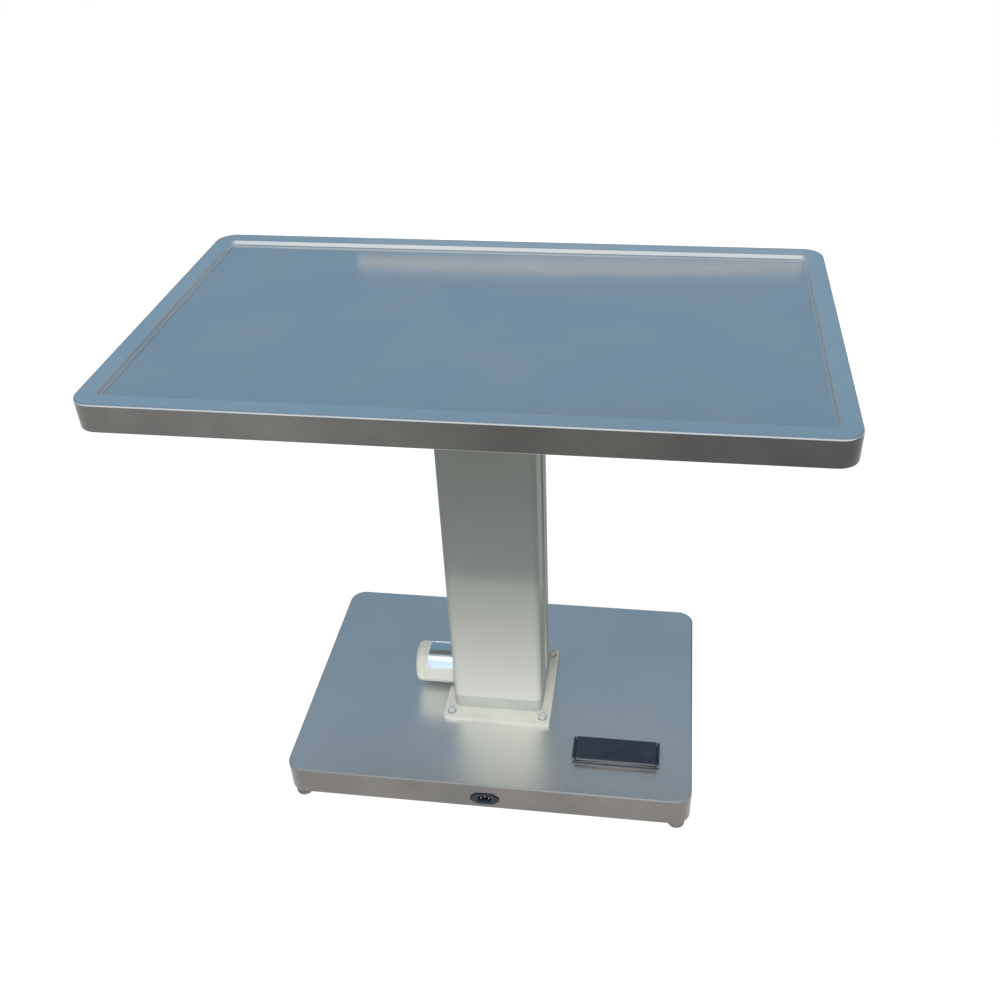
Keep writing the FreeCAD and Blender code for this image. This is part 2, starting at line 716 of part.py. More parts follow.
def column_foot():
    """Cast foot: a collar as wide as the tube, and a spigot inside the tube."""
    collar = column_section(PLATE_TOP, COLLAR_TOP)
    radius = COLUMN_R - COLUMN_WALL
    spigot = slab(SPIGOT_HALF_X, SPIGOT_HALF_Y, radius, COLLAR_TOP, SPIGOT_TOP)
    inside = slab(SPIGOT_HALF_X - SPIGOT_WALL, SPIGOT_HALF_Y - SPIGOT_WALL, radius / 2,
                  PLATE_TOP, SPIGOT_TOP)
    foot = fuse_all([collar, spigot]).cut(inside)
    foot = cut_all(foot, motor_wall_holes())
    for point, direction in tube_screw_places():
        foot = foot.cut(tapped_hole(point, direction, TUBE_SCREW_D, TUBE_SCREW_LENGTH + 1.0))
    for x, y in collar_screw_places():
        foot = foot.cut(tapped_hole(Vector(x, y, BASE_TOP), UP, COLLAR_SCREW_D, COLLAR_SCREW_LENGTH + 1.0))
    return [foot]


def collar_screw_places():
    """Four screws up through the mount plate into the collar."""
    return four_corners(COLLAR_SCREW_X, COLLAR_SCREW_SPREAD_Y / 2)


def column_foot_screws():
    """Countersunk screws, flush in the mount plate's underside."""
    return [flat_screw(Vector(x, y, BASE_TOP), UP, COLLAR_SCREW_D, COLLAR_SCREW_LENGTH)
            for x, y in collar_screw_places()]


def column_top_ring():
    """Plastic ring on the outer tube's top end, close round the inner tube."""
    outer = column_section(OUTER_TOP, OUTER_TOP + TOP_RING_T)
    half_x = INNER_TUBE_X / 2 + LOOSE_GAP
    half_y = INNER_TUBE_Y / 2 + LOOSE_GAP
    bore = slab(half_x, half_y, INNER_TUBE_R + LOOSE_GAP, OUTER_TOP, OUTER_TOP + TOP_RING_T)
    return [outer.cut(bore)]


def inner_column_tube():
    """Telescopic tube that carries the table top."""
    outer = slab(INNER_TUBE_X / 2, INNER_TUBE_Y / 2, INNER_TUBE_R, INNER_TUBE_BOTTOM, HEAD_BOTTOM)
    inner = slab(INNER_TUBE_X / 2 - INNER_TUBE_WALL, INNER_TUBE_Y / 2 - INNER_TUBE_WALL,
                 INNER_TUBE_R - INNER_TUBE_WALL, INNER_TUBE_BOTTOM, HEAD_BOTTOM)
    tube = outer.cut(inner)
    for point, direction in carrier_screw_places():
        tube = tube.cut(flat_screw_hole(point, direction, CARRIER_SCREW_D, INNER_TUBE_WALL))
    return [tube]


def pad_set(z0, wall_side, slide_side):
    """Eight glide pads between the tubes; the gap is left on the sliding side."""
    pads = []
    face_far = COLUMN_Y / 2 - COLUMN_WALL - wall_side
    face_near = INNER_TUBE_Y / 2 + slide_side
    side_far = COLUMN_FACE - COLUMN_WALL - wall_side
    side_near = INNER_TUBE_X / 2 + slide_side
    for a in (-1, 1):
        for b in (-1, 1):
            x_mid = a * PAD_FACE_SPREAD / 2
            y_pair = sorted((b * face_near, b * face_far))
            pads.append(box(x_mid - PAD_FACE_W / 2, x_mid + PAD_FACE_W / 2,
                            y_pair[0], y_pair[1], z0, z0 + PAD_LENGTH))
            y_mid = b * PAD_SIDE_SPREAD / 2
            x_pair = sorted((a * side_near, a * side_far))
            pads.append(box(x_pair[0], x_pair[1], y_mid - PAD_SIDE_W / 2, y_mid + PAD_SIDE_W / 2,
                            z0, z0 + PAD_LENGTH))
    return pads


def upper_glide_pads():
    """Pads fixed inside the outer tube's top end."""
    return pad_set(OUTER_TOP - PAD_END_GAP - PAD_LENGTH, 0.0, SLIDE_GAP)


def lower_glide_pads():
    """Pads fixed outside the inner tube's lower end."""
    return pad_set(INNER_TUBE_BOTTOM + PAD_END_GAP, SLIDE_GAP, 0.0)


# ---------------------------------------------------------------- mount plate
def plate_bolt_places():
    """The four corner bolts of the mount plate."""
    return four_corners(PLATE_BOLT_X, PLATE_BOLT_Y)


def ear_screw_places():
    """The four screws in the gearbox housing's ears."""
    left = GEARBOX_LEFT - EAR_LENGTH / 2
    right = GEARBOX_RIGHT + EAR_LENGTH / 2
    middle = (GEARBOX_FRONT + GEARBOX_BACK) / 2
    low = middle - EAR_SCREW_SPREAD / 2
    high = middle + EAR_SCREW_SPREAD / 2
    return [(left, low), (left, high), (right, low), (right, high)]


def mount_plate():
    """Painted plate between the base and the column."""
    plate = slab(PLATE_X / 2, PLATE_Y / 2, PLATE_R, BASE_TOP, PLATE_TOP)
    for x, y in plate_bolt_places():
        plate = plate.cut(clear_hole(Vector(x, y, BASE_TOP), UP, PLATE_BOLT_D, PLATE_T))
    for x, y in collar_screw_places():
        plate = plate.cut(flat_screw_hole(Vector(x, y, BASE_TOP), UP, COLLAR_SCREW_D, PLATE_T))
    for x, y in ear_screw_places():
        plate = plate.cut(tapped_hole(Vector(x, y, BASE_TOP), UP, EAR_SCREW_D, PLATE_T))
    plate = plate.cut(rod(Vector(LEAD_X, LEAD_Y, BASE_TOP), UP, LEAD_HOLE_R, PLATE_T))
    return [plate]


def mount_plate_bolts():
    """Cap screws down through plate, pan and reinforcement."""
    seat = PLATE_TOP + WASHER_T
    return [cap_screw(Vector(x, y, seat), DOWN, PLATE_BOLT_D, PLATE_BOLT_LENGTH)
            for x, y in plate_bolt_places()]


def mount_plate_washers():
    """Washers under the bolt heads."""
    return [ring(Vector(x, y, PLATE_TOP), UP, WASHER_R, PLATE_BOLT_D / 2 + HOLE_GAP, WASHER_T)
            for x, y in plate_bolt_places()]


def mount_plate_nuts():
    """Nuts under the reinforcement plate."""
    seat = BASE_CEILING - REINFORCEMENT_T
    return [hex_nut(Vector(x, y, seat), DOWN, PLATE_BOLT_D) for x, y in plate_bolt_places()]


# ---------------------------------------------------------------- worm drive
def gearbox_housing():
    """Open-topped cast box round the worm and its wheel."""
    body = box(GEARBOX_LEFT, GEARBOX_RIGHT, GEARBOX_FRONT, GEARBOX_BACK, PLATE_TOP, COVER_BOTTOM)
    middle = (GEARBOX_FRONT + GEARBOX_BACK) / 2
    ears = box(GEARBOX_LEFT - EAR_LENGTH, GEARBOX_RIGHT + EAR_LENGTH, middle - EAR_Y / 2,
               middle + EAR_Y / 2, PLATE_TOP, PLATE_TOP + EAR_T)
    body = fuse_all([body, ears])
    cavity = box(GEARBOX_LEFT + GEARBOX_WALL, WORM_SEAT_X, GEARBOX_FRONT + GEARBOX_WALL,
                 GEARBOX_BACK - GEARBOX_BACK_WALL, GEARBOX_FLOOR_TOP, COVER_BOTTOM)
    axis_left = Vector(GEARBOX_LEFT, MOTOR_AXIS_Y, MOTOR_Z)
    tools = [
        cavity,
        rod(axis_left, RIGHT, WORM_TIP_R + LOOSE_GAP, GEARBOX_WALL),
        bearing_pocket(WORM_BEARING, Vector(WORM_SEAT_X, MOTOR_AXIS_Y, MOTOR_Z), RIGHT),
        bearing_pocket(LOWER_BEARING, Vector(0, SPINDLE_Y, LOWER_BEARING_Z), UP),
    ]
    for x, y in ear_screw_places():
        tools.append(clear_hole(Vector(x, y, PLATE_TOP), UP, EAR_SCREW_D, EAR_T))
    for x, y in cover_screw_places():
        tools.append(tapped_hole(Vector(x, y, COVER_BOTTOM), DOWN, COVER_SCREW_D,
                                 COVER_SCREW_LENGTH - COVER_T + 1.0))
    for point in flange_screw_points():
        tools.append(tapped_hole(point, RIGHT, FLANGE_SCREW_D, FLANGE_SCREW_LENGTH + 1.0))
    return [cut_all(body, tools)]


def cover_screw_places():
    """Screws at the cover's corners, into the housing's corner posts."""
    left = GEARBOX_LEFT + COVER_SCREW_INSET_X
    right = GEARBOX_RIGHT - COVER_SCREW_INSET_X
    low = GEARBOX_FRONT + COVER_SCREW_INSET_Y
    high = GEARBOX_BACK - COVER_SCREW_INSET_Y
    return [(left, low), (right, low), (right, high), (left, high)]


def gearbox_cover():
    """Cover that holds the spindle's upper bearing."""
    cover = box(GEARBOX_LEFT, GEARBOX_RIGHT, GEARBOX_FRONT, GEARBOX_BACK, COVER_BOTTOM, COVER_TOP)
    tools = [
        rod(Vector(0, SPINDLE_Y, UPPER_BEARING_Z), UP, UPPER_BEARING[1], COVER_T),
        rod(Vector(0, SPINDLE_Y, COVER_BOTTOM), UP, UPPER_BEARING[0] + 4 * LOOSE_GAP, COVER_T),
    ]
    for x, y in cover_screw_places():
        tools.append(clear_hole(Vector(x, y, COVER_BOTTOM), UP, COVER_SCREW_D, COVER_T))
    return [cut_all(cover, tools)]


def gearbox_screws():
    """Cover screws, and the screws that hold the ears on the mount plate."""
    screws = [cap_screw(Vector(x, y, COVER_TOP), DOWN, COVER_SCREW_D, COVER_SCREW_LENGTH)
              for x, y in cover_screw_places()]
    for x, y in ear_screw_places():
        screws.append(cap_screw(Vector(x, y, PLATE_TOP + EAR_T), DOWN, EAR_SCREW_D, EAR_T + PLATE_T))
    return screws


def worm_thread(start_index):
    """One helical thread, its crest on the wheel's side at the middle of the worm."""
    slope = math.tan(math.radians(PRESSURE_ANGLE))
    half_pitch_line = (WORM_PITCH / 2 - TOOTH_BACKLASH / 2) / 2
    root = WORM_ROOT_R - THREAD_SINK
    half_root = half_pitch_line + (WORM_PITCH_R - root) * slope
    half_tip = half_pitch_line - WORM_MODULE * slope
    reach = WORM_LEAD * THREAD_TURNS / 2
    helix = Part.makeHelix(WORM_LEAD, 2 * reach, WORM_PITCH_R)
    profile = Part.makePolygon([
        Vector(root, 0, -half_root),
        Vector(WORM_TIP_R, 0, -half_tip),
        Vector(WORM_TIP_R, 0, half_tip),
        Vector(root, 0, half_root),
        Vector(root, 0, -half_root),
    ])
    thread = Part.Wire(helix.Edges).makePipeShell([profile], True, True)
    thread.rotate(Vector(0, 0, 0), UP, 360.0 * start_index / WORM_STARTS)
    thread.translate(Vector(0, 0, -reach))
    return thread


def worm_body():
    """The worm about the origin along X, with its threads trimmed to length."""
    core = Part.makeCylinder(WORM_ROOT_R, WORM_LENGTH, Vector(0, 0, -WORM_LENGTH / 2))
    sleeve = Part.makeCylinder(WORM_TIP_R + WORM_MODULE, WORM_LENGTH, Vector(0, 0, -WORM_LENGTH / 2))
    body = core
    for index in range(WORM_STARTS):
        body = body.fuse(worm_thread(index).common(sleeve))
    body.rotate(Vector(0, 0, 0), BACK, 90)
    return body


def worm_shaft():
    """Motor shaft and worm in one piece, from the tail bearing to the gearbox's right wall."""
    y = MOTOR_AXIS_Y
    tail = MOTOR_CAN_END - TAIL_BEARING[2]
    neck_end = GEARBOX_LEFT - NECK_BEARING[2]
    steps = [
        (tail + SHAFT_END_GAP, MOTOR_CAN_START, MOTOR_SHAFT_R),
        (MOTOR_CAN_START, neck_end, NECK_SHAFT_R),
        (neck_end, GEARBOX_LEFT, NECK_BEARING[0]),
        (GEARBOX_LEFT, WORM_SEAT_X, DRIVE_SHAFT_R),
        (WORM_SEAT_X, WORM_SEAT_X + WORM_BEARING[2] - SHAFT_END_GAP, WORM_BEARING[0]),
    ]
    pieces = [rod(Vector(x0, y, MOTOR_Z), RIGHT, radius, x1 - x0) for x0, x1, radius in steps]
    worm = worm_body()
    worm.translate(Vector(0, y, MOTOR_Z))
    return [fuse_all(pieces + [worm])]


def wheel_outline(z, turn):
    """The worm wheel's toothed outline at height z, turned by an angle."""
    slope = math.tan(math.radians(PRESSURE_ANGLE))
    half_tooth = (WORM_PITCH / 2 - TOOTH_BACKLASH / 2) / 2
    depth = DEDENDUM * WORM_MODULE
    step = 2 * math.pi / WHEEL_TEETH
    levels = [
        (WHEEL_PITCH_R - depth, half_tooth + depth * slope),
        (WHEEL_PITCH_R, half_tooth),
        (WHEEL_TIP_R, half_tooth - WORM_MODULE * slope),
    ]
    points = []
    for tooth in range(WHEEL_TEETH):
        centre = -math.pi / 2 + step * (tooth + 0.5) + turn
        flank = [(radius, -half) for radius, half in levels]
        flank += [(radius, half) for radius, half in reversed(levels)]
        for radius, half in flank:
            angle = centre + half / radius
            points.append(Vector(radius * math.cos(angle), radius * math.sin(angle), z))
    return Part.makePolygon(points + [points[0]])


def worm_wheel():
    """Bronze wheel on the spindle, its teeth leaning at the worm's lead angle."""
    layers = []
    for i in range(WHEEL_LAYERS):
        z = WHEEL_FACE * (i / (WHEEL_LAYERS - 1) - 0.5)
        layers.append(wheel_outline(z, z * math.tan(LEAD_ANGLE) / WHEEL_PITCH_R))
    wheel = Part.makeLoft(layers, True, True)
    bore = Part.makeCylinder(DRIVE_SHAFT_R + SEAT_GAP, WHEEL_FACE, Vector(0, 0, -WHEEL_FACE / 2))
    wheel = wheel.cut(bore)
    wheel.translate(Vector(0, SPINDLE_Y, MOTOR_Z))
    return [wheel]


def spindle():
    """Lift spindle: lower journal, wheel seat, upper journal, screw."""
    wheel_seat = MOTOR_Z - WHEEL_FACE / 2
    steps = [
        (LOWER_BEARING_Z, GEARBOX_FLOOR_TOP, LOWER_BEARING[0]),
        (GEARBOX_FLOOR_TOP, wheel_seat - SPINDLE_COLLAR_T, DRIVE_SHAFT_R),
        (wheel_seat - SPINDLE_COLLAR_T, wheel_seat, SPINDLE_COLLAR_R),
        (wheel_seat, UPPER_BEARING_Z, DRIVE_SHAFT_R),
        (UPPER_BEARING_Z, SPINDLE_SHOULDER, UPPER_BEARING[0]),
        (SPINDLE_SHOULDER, SPINDLE_TOP - STOP_DISC_T, SPINDLE_R),
    ]
    pieces = [rod(Vector(0, SPINDLE_Y, z0), UP, radius, z1 - z0) for z0, z1, radius in steps]
    body = fuse_all(pieces)
    hole = tapped_hole(Vector(0, SPINDLE_Y, SPINDLE_TOP), DOWN, STOP_SCREW_D, 4 * STOP_SCREW_D)
    return [body.cut(hole)]


def spindle_stop_disc():
    """Disc and screw on the spindle's end that stop the nut from running off."""
    disc = ring(Vector(0, SPINDLE_Y, SPINDLE_TOP - STOP_DISC_T), UP, STOP_DISC_R,
                STOP_SCREW_D / 2 + THREAD_GAP, STOP_DISC_T)
    screw = cap_screw(Vector(0, SPINDLE_Y, SPINDLE_TOP), DOWN, STOP_SCREW_D, 3 * STOP_SCREW_D)
    return [disc, screw]


def bearing_places():
    """Each bearing's size, start and direction."""
    return {
        "lower": (LOWER_BEARING, Vector(0, SPINDLE_Y, LOWER_BEARING_Z), UP),
        "upper": (UPPER_BEARING, Vector(0, SPINDLE_Y, UPPER_BEARING_Z), UP),
        "worm": (WORM_BEARING, Vector(WORM_SEAT_X, MOTOR_AXIS_Y, MOTOR_Z), RIGHT),
        "neck": (NECK_BEARING, Vector(GEARBOX_LEFT - NECK_BEARING[2], MOTOR_AXIS_Y, MOTOR_Z), RIGHT),
        "tail": (TAIL_BEARING, Vector(MOTOR_CAN_END - TAIL_BEARING[2], MOTOR_AXIS_Y, MOTOR_Z), RIGHT),
    }


def bearing_inner_rings(names):
    """The rings that turn with the named bearings' shafts."""
    places = bearing_places()
    return [bearing_parts(*places[name])[0] for name in names]


def bearing_outer_rings(names):
    """The rings that stay in their housings, with the balls."""
    places = bearing_places()
    solids = []
    for name in names:
        solids += bearing_parts(*places[name])[1]
    return solids


def spindle_nut():
    """Flanged nut that climbs the spindle."""
    top = ring(Vector(0, SPINDLE_Y, CARRIER_TOP), UP, NUT_FLANGE_R, SPINDLE_R + RUN_GAP, NUT_FLANGE_T)
    body = ring(Vector(0, SPINDLE_Y, CARRIER_TOP - NUT_BODY_LENGTH), UP, NUT_BODY_R,
                SPINDLE_R + RUN_GAP, NUT_BODY_LENGTH)
    nut = fuse_all([top, body])
    holes = [clear_hole(Vector(x, y, CARRIER_TOP), UP, NUT_SCREW_D, NUT_FLANGE_T)
             for x, y in nut_screw_places()]
    return [cut_all(nut, holes)]


def nut_screw_places():
    """Four screws round the nut's flange."""
    places = []
    for i in range(4):
        angle = math.radians(45 + 90 * i)
        places.append((NUT_SCREW_PCR * math.cos(angle), SPINDLE_Y + NUT_SCREW_PCR * math.sin(angle)))
    return places


def nut_screws():
    """Screws that hold the nut on its carrier plate, and the plate in the inner tube."""
    screws = [cap_screw(Vector(x, y, NUT_TOP), DOWN, NUT_SCREW_D, NUT_FLANGE_T + 2 * NUT_SCREW_D)
              for x, y in nut_screw_places()]
    for point, direction in carrier_screw_places():
        screws.append(flat_screw(point, direction, CARRIER_SCREW_D, CARRIER_SCREW_LENGTH))
    return screws


def carrier_screw_places():
    """Two screws from each side of the inner tube into the carrier plate."""
    z = (CARRIER_BOTTOM + CARRIER_TOP) / 2
    places = []
    for side in (-1, 1):
        for y in (-CARRIER_SCREW_SPREAD / 2, CARRIER_SCREW_SPREAD / 2):
            places.append((Vector(side * INNER_TUBE_X / 2, y, z), Vector(-side, 0, 0)))
    return places


def nut_carrier():
    """Plate across the inner tube's lower end."""
    half_x = INNER_TUBE_X / 2 - INNER_TUBE_WALL - SPIGOT_GAP
    half_y = INNER_TUBE_Y / 2 - INNER_TUBE_WALL - SPIGOT_GAP
    plate = slab(half_x, half_y, INNER_TUBE_R - INNER_TUBE_WALL, CARRIER_BOTTOM, CARRIER_TOP)
    tools = [rod(Vector(0, SPINDLE_Y, CARRIER_BOTTOM), UP, NUT_BODY_R + SPIGOT_GAP, CARRIER_T)]
    for x, y in nut_screw_places():
        tools.append(tapped_hole(Vector(x, y, CARRIER_BOTTOM), UP, NUT_SCREW_D, CARRIER_T))
    for point, direction in carrier_screw_places():
        tools.append(tapped_hole(point, direction, CARRIER_SCREW_D, CARRIER_SCREW_LENGTH + 1.0))
    return [cut_all(plate, tools)]


# ---------------------------------------------------------------- motor
def on_motor_circle(radius, angle_deg, x):
    """A point round the motor's axis; the angle starts at +Y and turns up."""
    angle = math.radians(angle_deg)
    return Vector(x, MOTOR_AXIS_Y + radius * math.cos(angle), MOTOR_Z + radius * math.sin(angle))


def flange_screw_points():
    """Seats of the four screws through the motor's neck."""
    seat = -COLUMN_FACE - MOTOR_FLANGE_T + FLANGE_SCREW_D
    return [on_motor_circle(FLANGE_SCREW_PCR, 45 + 90 * i, seat) for i in range(4)]


def motor_flange():
    """Flange on the column's left face, with a neck that reaches the gearbox."""
    axis = Vector(-COLUMN_FACE - MOTOR_FLANGE_T, MOTOR_AXIS_Y, MOTOR_Z)
    disc = rod(axis, RIGHT, MOTOR_FLANGE_R, MOTOR_FLANGE_T)
    neck_length = GEARBOX_LEFT + COLUMN_FACE + MOTOR_FLANGE_T
    neck = rod(axis, RIGHT, MOTOR_NECK_R, neck_length)
    body = fuse_all([disc, neck])
    pocket_start = Vector(GEARBOX_LEFT - NECK_BEARING[2], MOTOR_AXIS_Y, MOTOR_Z)
    tools = [
        rod(axis, RIGHT, MOTOR_NECK_BORE_R, neck_length),
        bearing_pocket(NECK_BEARING, pocket_start, RIGHT),
        rod(Vector(axis.x, LEAD_Y, MOTOR_Z), RIGHT, LEAD_FLANGE_HOLE_R, MOTOR_FLANGE_T),
    ]
    for point in flange_screw_points():
        tools.append(clear_hole(point, RIGHT, FLANGE_SCREW_D, neck_length))
        tools.append(rod(point, LEFT, CAP_HEAD_R * FLANGE_SCREW_D + HOLE_GAP, FLANGE_SCREW_D))
    return [cut_all(body, tools)]


def motor_flange_screws():
    """Long screws from the flange into the gearbox housing."""
    return [cap_screw(point, RIGHT, FLANGE_SCREW_D, FLANGE_SCREW_LENGTH) for point in flange_screw_points()]


def motor_can():
    """Steel tube round the magnets, with the rear shield pressed in its end."""
    axis = Vector(MOTOR_CAN_START, MOTOR_AXIS_Y, MOTOR_Z)
    return [ring(axis, LEFT, MOTOR_CAN_R, MOTOR_CAN_R - MOTOR_CAN_WALL, MOTOR_CAN_LENGTH)]


def motor_rear_shield():
    """Rear bearing shield that closes the can."""
    axis = Vector(MOTOR_CAN_END, MOTOR_AXIS_Y, MOTOR_Z)
    disc = rod(axis, LEFT, MOTOR_CAN_R, REAR_SHIELD_T)
    disc = disc.cut(bearing_pocket(TAIL_BEARING, axis, LEFT))
    for i in range(3):
        point = on_motor_circle(END_CAP_SCREW_PCR, 90 + 120 * i, MOTOR_CAN_END)
        disc = disc.cut(tapped_hole(point, LEFT, END_CAP_SCREW_D, REAR_SHIELD_T))
    return [disc]


def motor_magnets():
    """Two curved magnets inside the can, above and below the rotor."""
    outer = MOTOR_CAN_R - MOTOR_CAN_WALL
    middle = (MOTOR_CAN_START + MOTOR_CAN_END) / 2
    magnets = []
    for turn in (90, 270):
        start = Vector(middle - MAGNET_LENGTH / 2, MOTOR_AXIS_Y, MOTOR_Z)
        sector = Part.makeCylinder(outer, MAGNET_LENGTH, start, RIGHT, MAGNET_ARC)
        hollow = Part.makeCylinder(outer - MAGNET_T, MAGNET_LENGTH, start, RIGHT)
        magnet = sector.cut(hollow).Solids[0]
        centre = magnet.CenterOfMass
        now = math.degrees(math.atan2(centre.z - MOTOR_Z, centre.y - MOTOR_AXIS_Y))
        magnet.rotate(start, RIGHT, turn - now)
        magnets.append(magnet)
    return magnets


def motor_rotor():
    """Rotor core with its windings' ends and commutator, on the worm shaft."""
    middle = (MOTOR_CAN_START + MOTOR_CAN_END) / 2
    right = middle + ROTOR_LENGTH / 2
    left = middle - ROTOR_LENGTH / 2
    y = MOTOR_AXIS_Y
    pieces = [
        rod(Vector(left, y, MOTOR_Z), RIGHT, ROTOR_R, ROTOR_LENGTH),
        rod(Vector(right, y, MOTOR_Z), RIGHT, WINDING_R, WINDING_LENGTH),
        rod(Vector(left - WINDING_LENGTH, y, MOTOR_Z), RIGHT, WINDING_R, WINDING_LENGTH),
        rod(Vector(left - WINDING_LENGTH - COMMUTATOR_LENGTH, y, MOTOR_Z), RIGHT, COMMUTATOR_R,
            COMMUTATOR_LENGTH),
    ]
    body = fuse_all(pieces)
    bore = rod(Vector(MOTOR_CAN_END, y, MOTOR_Z), RIGHT, MOTOR_SHAFT_R + SEAT_GAP, MOTOR_CAN_LENGTH)
    slots = []
    for i in range(ROTOR_SLOTS):
        start = on_motor_circle(ROTOR_R, 360 * i / ROTOR_SLOTS, left)
        slots.append(rod(start, RIGHT, ROTOR_SLOT_R, ROTOR_LENGTH))
    return [cut_all(body, [bore] + slots)]


def motor_brush_holder():
    """Ring inside the can with two brushes beside the commutator."""
    x = MOTOR_CAN_END
    can_inside = MOTOR_CAN_R - MOTOR_CAN_WALL
    carrier = ring(Vector(x, MOTOR_AXIS_Y, MOTOR_Z), RIGHT, can_inside, BRUSH_RING_BORE_R, BRUSH_RING_T)
    near = COMMUTATOR_R + SLIDE_GAP
    solids = [carrier]
    for side in (-1, 1):
        pair = sorted((MOTOR_AXIS_Y + side * near, MOTOR_AXIS_Y + side * (near + BRUSH_LENGTH)))
        solids.append(box(x + BRUSH_RING_T, x + BRUSH_RING_T + BRUSH_W, pair[0], pair[1],
                          MOTOR_Z - BRUSH_W / 2, MOTOR_Z + BRUSH_W / 2))
    return solids


def motor_cover():
    """Ivory plastic sleeve round the motor."""
    start = Vector(-COLUMN_FACE - SLIDE_GAP, MOTOR_AXIS_Y, MOTOR_Z)
    length = -COLUMN_FACE - SLIDE_GAP - END_CAP_START
    return [ring(start, LEFT, MOTOR_COVER_R, MOTOR_COVER_R - MOTOR_COVER_WALL, length)]


def motor_end_cap():
    """Rounded cap that closes the sleeve."""
    axis = Vector(END_CAP_START, MOTOR_AXIS_Y, MOTOR_Z)
    outer = rod(axis, LEFT, MOTOR_COVER_R, END_CAP_LENGTH)
    rim = [e for e in outer.Edges if abs(e.BoundBox.XMax - END_CAP_TIP) < 1e-6 and e.BoundBox.XLength < 1e-6]
    outer = outer.makeFillet(END_CAP_R, rim)
    inner = rod(axis, LEFT, MOTOR_COVER_R - 2 * MOTOR_COVER_WALL, END_CAP_LENGTH - MOTOR_COVER_WALL)
    inner_tip = END_CAP_TIP + MOTOR_COVER_WALL
    rim = [e for e in inner.Edges if abs(e.BoundBox.XMax - inner_tip) < 1e-6 and e.BoundBox.XLength < 1e-6]
    inner = inner.makeFillet(END_CAP_R - MOTOR_COVER_WALL, rim)
    lip = ring(axis, RIGHT, MOTOR_COVER_R - MOTOR_COVER_WALL - SPIGOT_GAP,
               MOTOR_COVER_R - 2 * MOTOR_COVER_WALL, END_CAP_LIP)
    cap = outer.cut(inner).fuse(lip)
    boss_length = MOTOR_CAN_END - REAR_SHIELD_T - inner_tip
    for i in range(3):
        foot = on_motor_circle(END_CAP_SCREW_PCR, 90 + 120 * i, inner_tip + boss_length)
        cap = cap.fuse(rod(foot, LEFT, END_CAP_BOSS_R, boss_length))
    cap = cap.removeSplitter()
    for i in range(3):
        tip = on_motor_circle(END_CAP_SCREW_PCR, 90 + 120 * i, END_CAP_TIP)
        cap = cap.cut(flat_screw_hole(tip, RIGHT, END_CAP_SCREW_D, END_CAP_LENGTH))
    return [cap]


def end_cap_screws():
    """Countersunk screws through the cap into the rear shield."""
    length = MOTOR_CAN_END - REAR_SHIELD_T - END_CAP_TIP + 2 * END_CAP_SCREW_D
    return [flat_screw(on_motor_circle(END_CAP_SCREW_PCR, 90 + 120 * i, END_CAP_TIP), RIGHT,
                       END_CAP_SCREW_D, length) for i in range(3)]


# ---------------------------------------------------------------- base
def base_pan():
    """Inverted stainless pan: top sheet, skirt and hem, with its cut-outs."""
    half_x = BASE_LENGTH / 2
    half_y = BASE_WIDTH / 2
    outer = slab(half_x, half_y, BASE_CORNER_R, BASE_BOTTOM, BASE_TOP)
    outer = soften_top(outer, BASE_TOP, BASE_EDGE_R)
    inner_r = BASE_CORNER_R - BASE_SHEET
    void = slab(half_x - BASE_SHEET, half_y - BASE_SHEET, inner_r, BASE_BOTTOM, BASE_CEILING)
    void = soften_top(void, BASE_CEILING, BASE_EDGE_R - BASE_SHEET)
    hem_top = BASE_BOTTOM + BASE_SHEET
    hem = slab(half_x - BASE_SHEET / 2, half_y - BASE_SHEET / 2, inner_r, BASE_BOTTOM, hem_top)
    opening = slab(half_x - BASE_HEM, half_y - BASE_HEM, inner_r, BASE_BOTTOM, hem_top)
    shell = outer.cut(void).fuse(hem.cut(opening)).removeSplitter()
    tools = []
    for x, y in four_corners(FOOT_X, FOOT_Y):
        tools.append(clear_hole(Vector(x, y, BASE_BOTTOM), UP, STUD_D, BASE_SHEET))
    for x, y in plate_bolt_places():
        tools.append(clear_hole(Vector(x, y, BASE_CEILING), UP, PLATE_BOLT_D, BASE_SHEET))
    tools.append(rod(Vector(LEAD_X, LEAD_Y, BASE_CEILING), UP, LEAD_HOLE_R, BASE_SHEET))
    tub_x, tub_y = switch_tub_half()
    tools.append(box(SWITCH_X - tub_x - HOLE_GAP, SWITCH_X + tub_x + HOLE_GAP,
                     SWITCH_Y - tub_y - HOLE_GAP, SWITCH_Y + tub_y + HOLE_GAP, BASE_CEILING, BASE_TOP))
    tools.append(box(-INLET_BODY_X / 2 - HOLE_GAP, INLET_BODY_X / 2 + HOLE_GAP, FRONT_FACE,
                     FRONT_FACE + BASE_SHEET, INLET_HEIGHT - INLET_BODY_Z / 2 - HOLE_GAP,
                     INLET_HEIGHT + INLET_BODY_Z / 2 + HOLE_GAP))
    for x in (-INLET_SCREW_SPREAD / 2, INLET_SCREW_SPREAD / 2):
        tools.append(tapped_hole(Vector(x, FRONT_FACE, INLET_HEIGHT), BACK, INLET_SCREW_D, BASE_SHEET))
    return [cut_all(shell, tools)]


def reinforcement_plate():
    """Steel plate under the pan, below the column."""
    bottom = BASE_CEILING - REINFORCEMENT_T
    plate = slab(REINFORCEMENT_X / 2, REINFORCEMENT_Y / 2, PLATE_R, bottom, BASE_CEILING)
    for x, y in plate_bolt_places():
        plate = plate.cut(clear_hole(Vector(x, y, bottom), UP, PLATE_BOLT_D, REINFORCEMENT_T))
    plate = plate.cut(rod(Vector(LEAD_X, LEAD_Y, bottom), UP, LEAD_HOLE_R, REINFORCEMENT_T))
    return [plate]


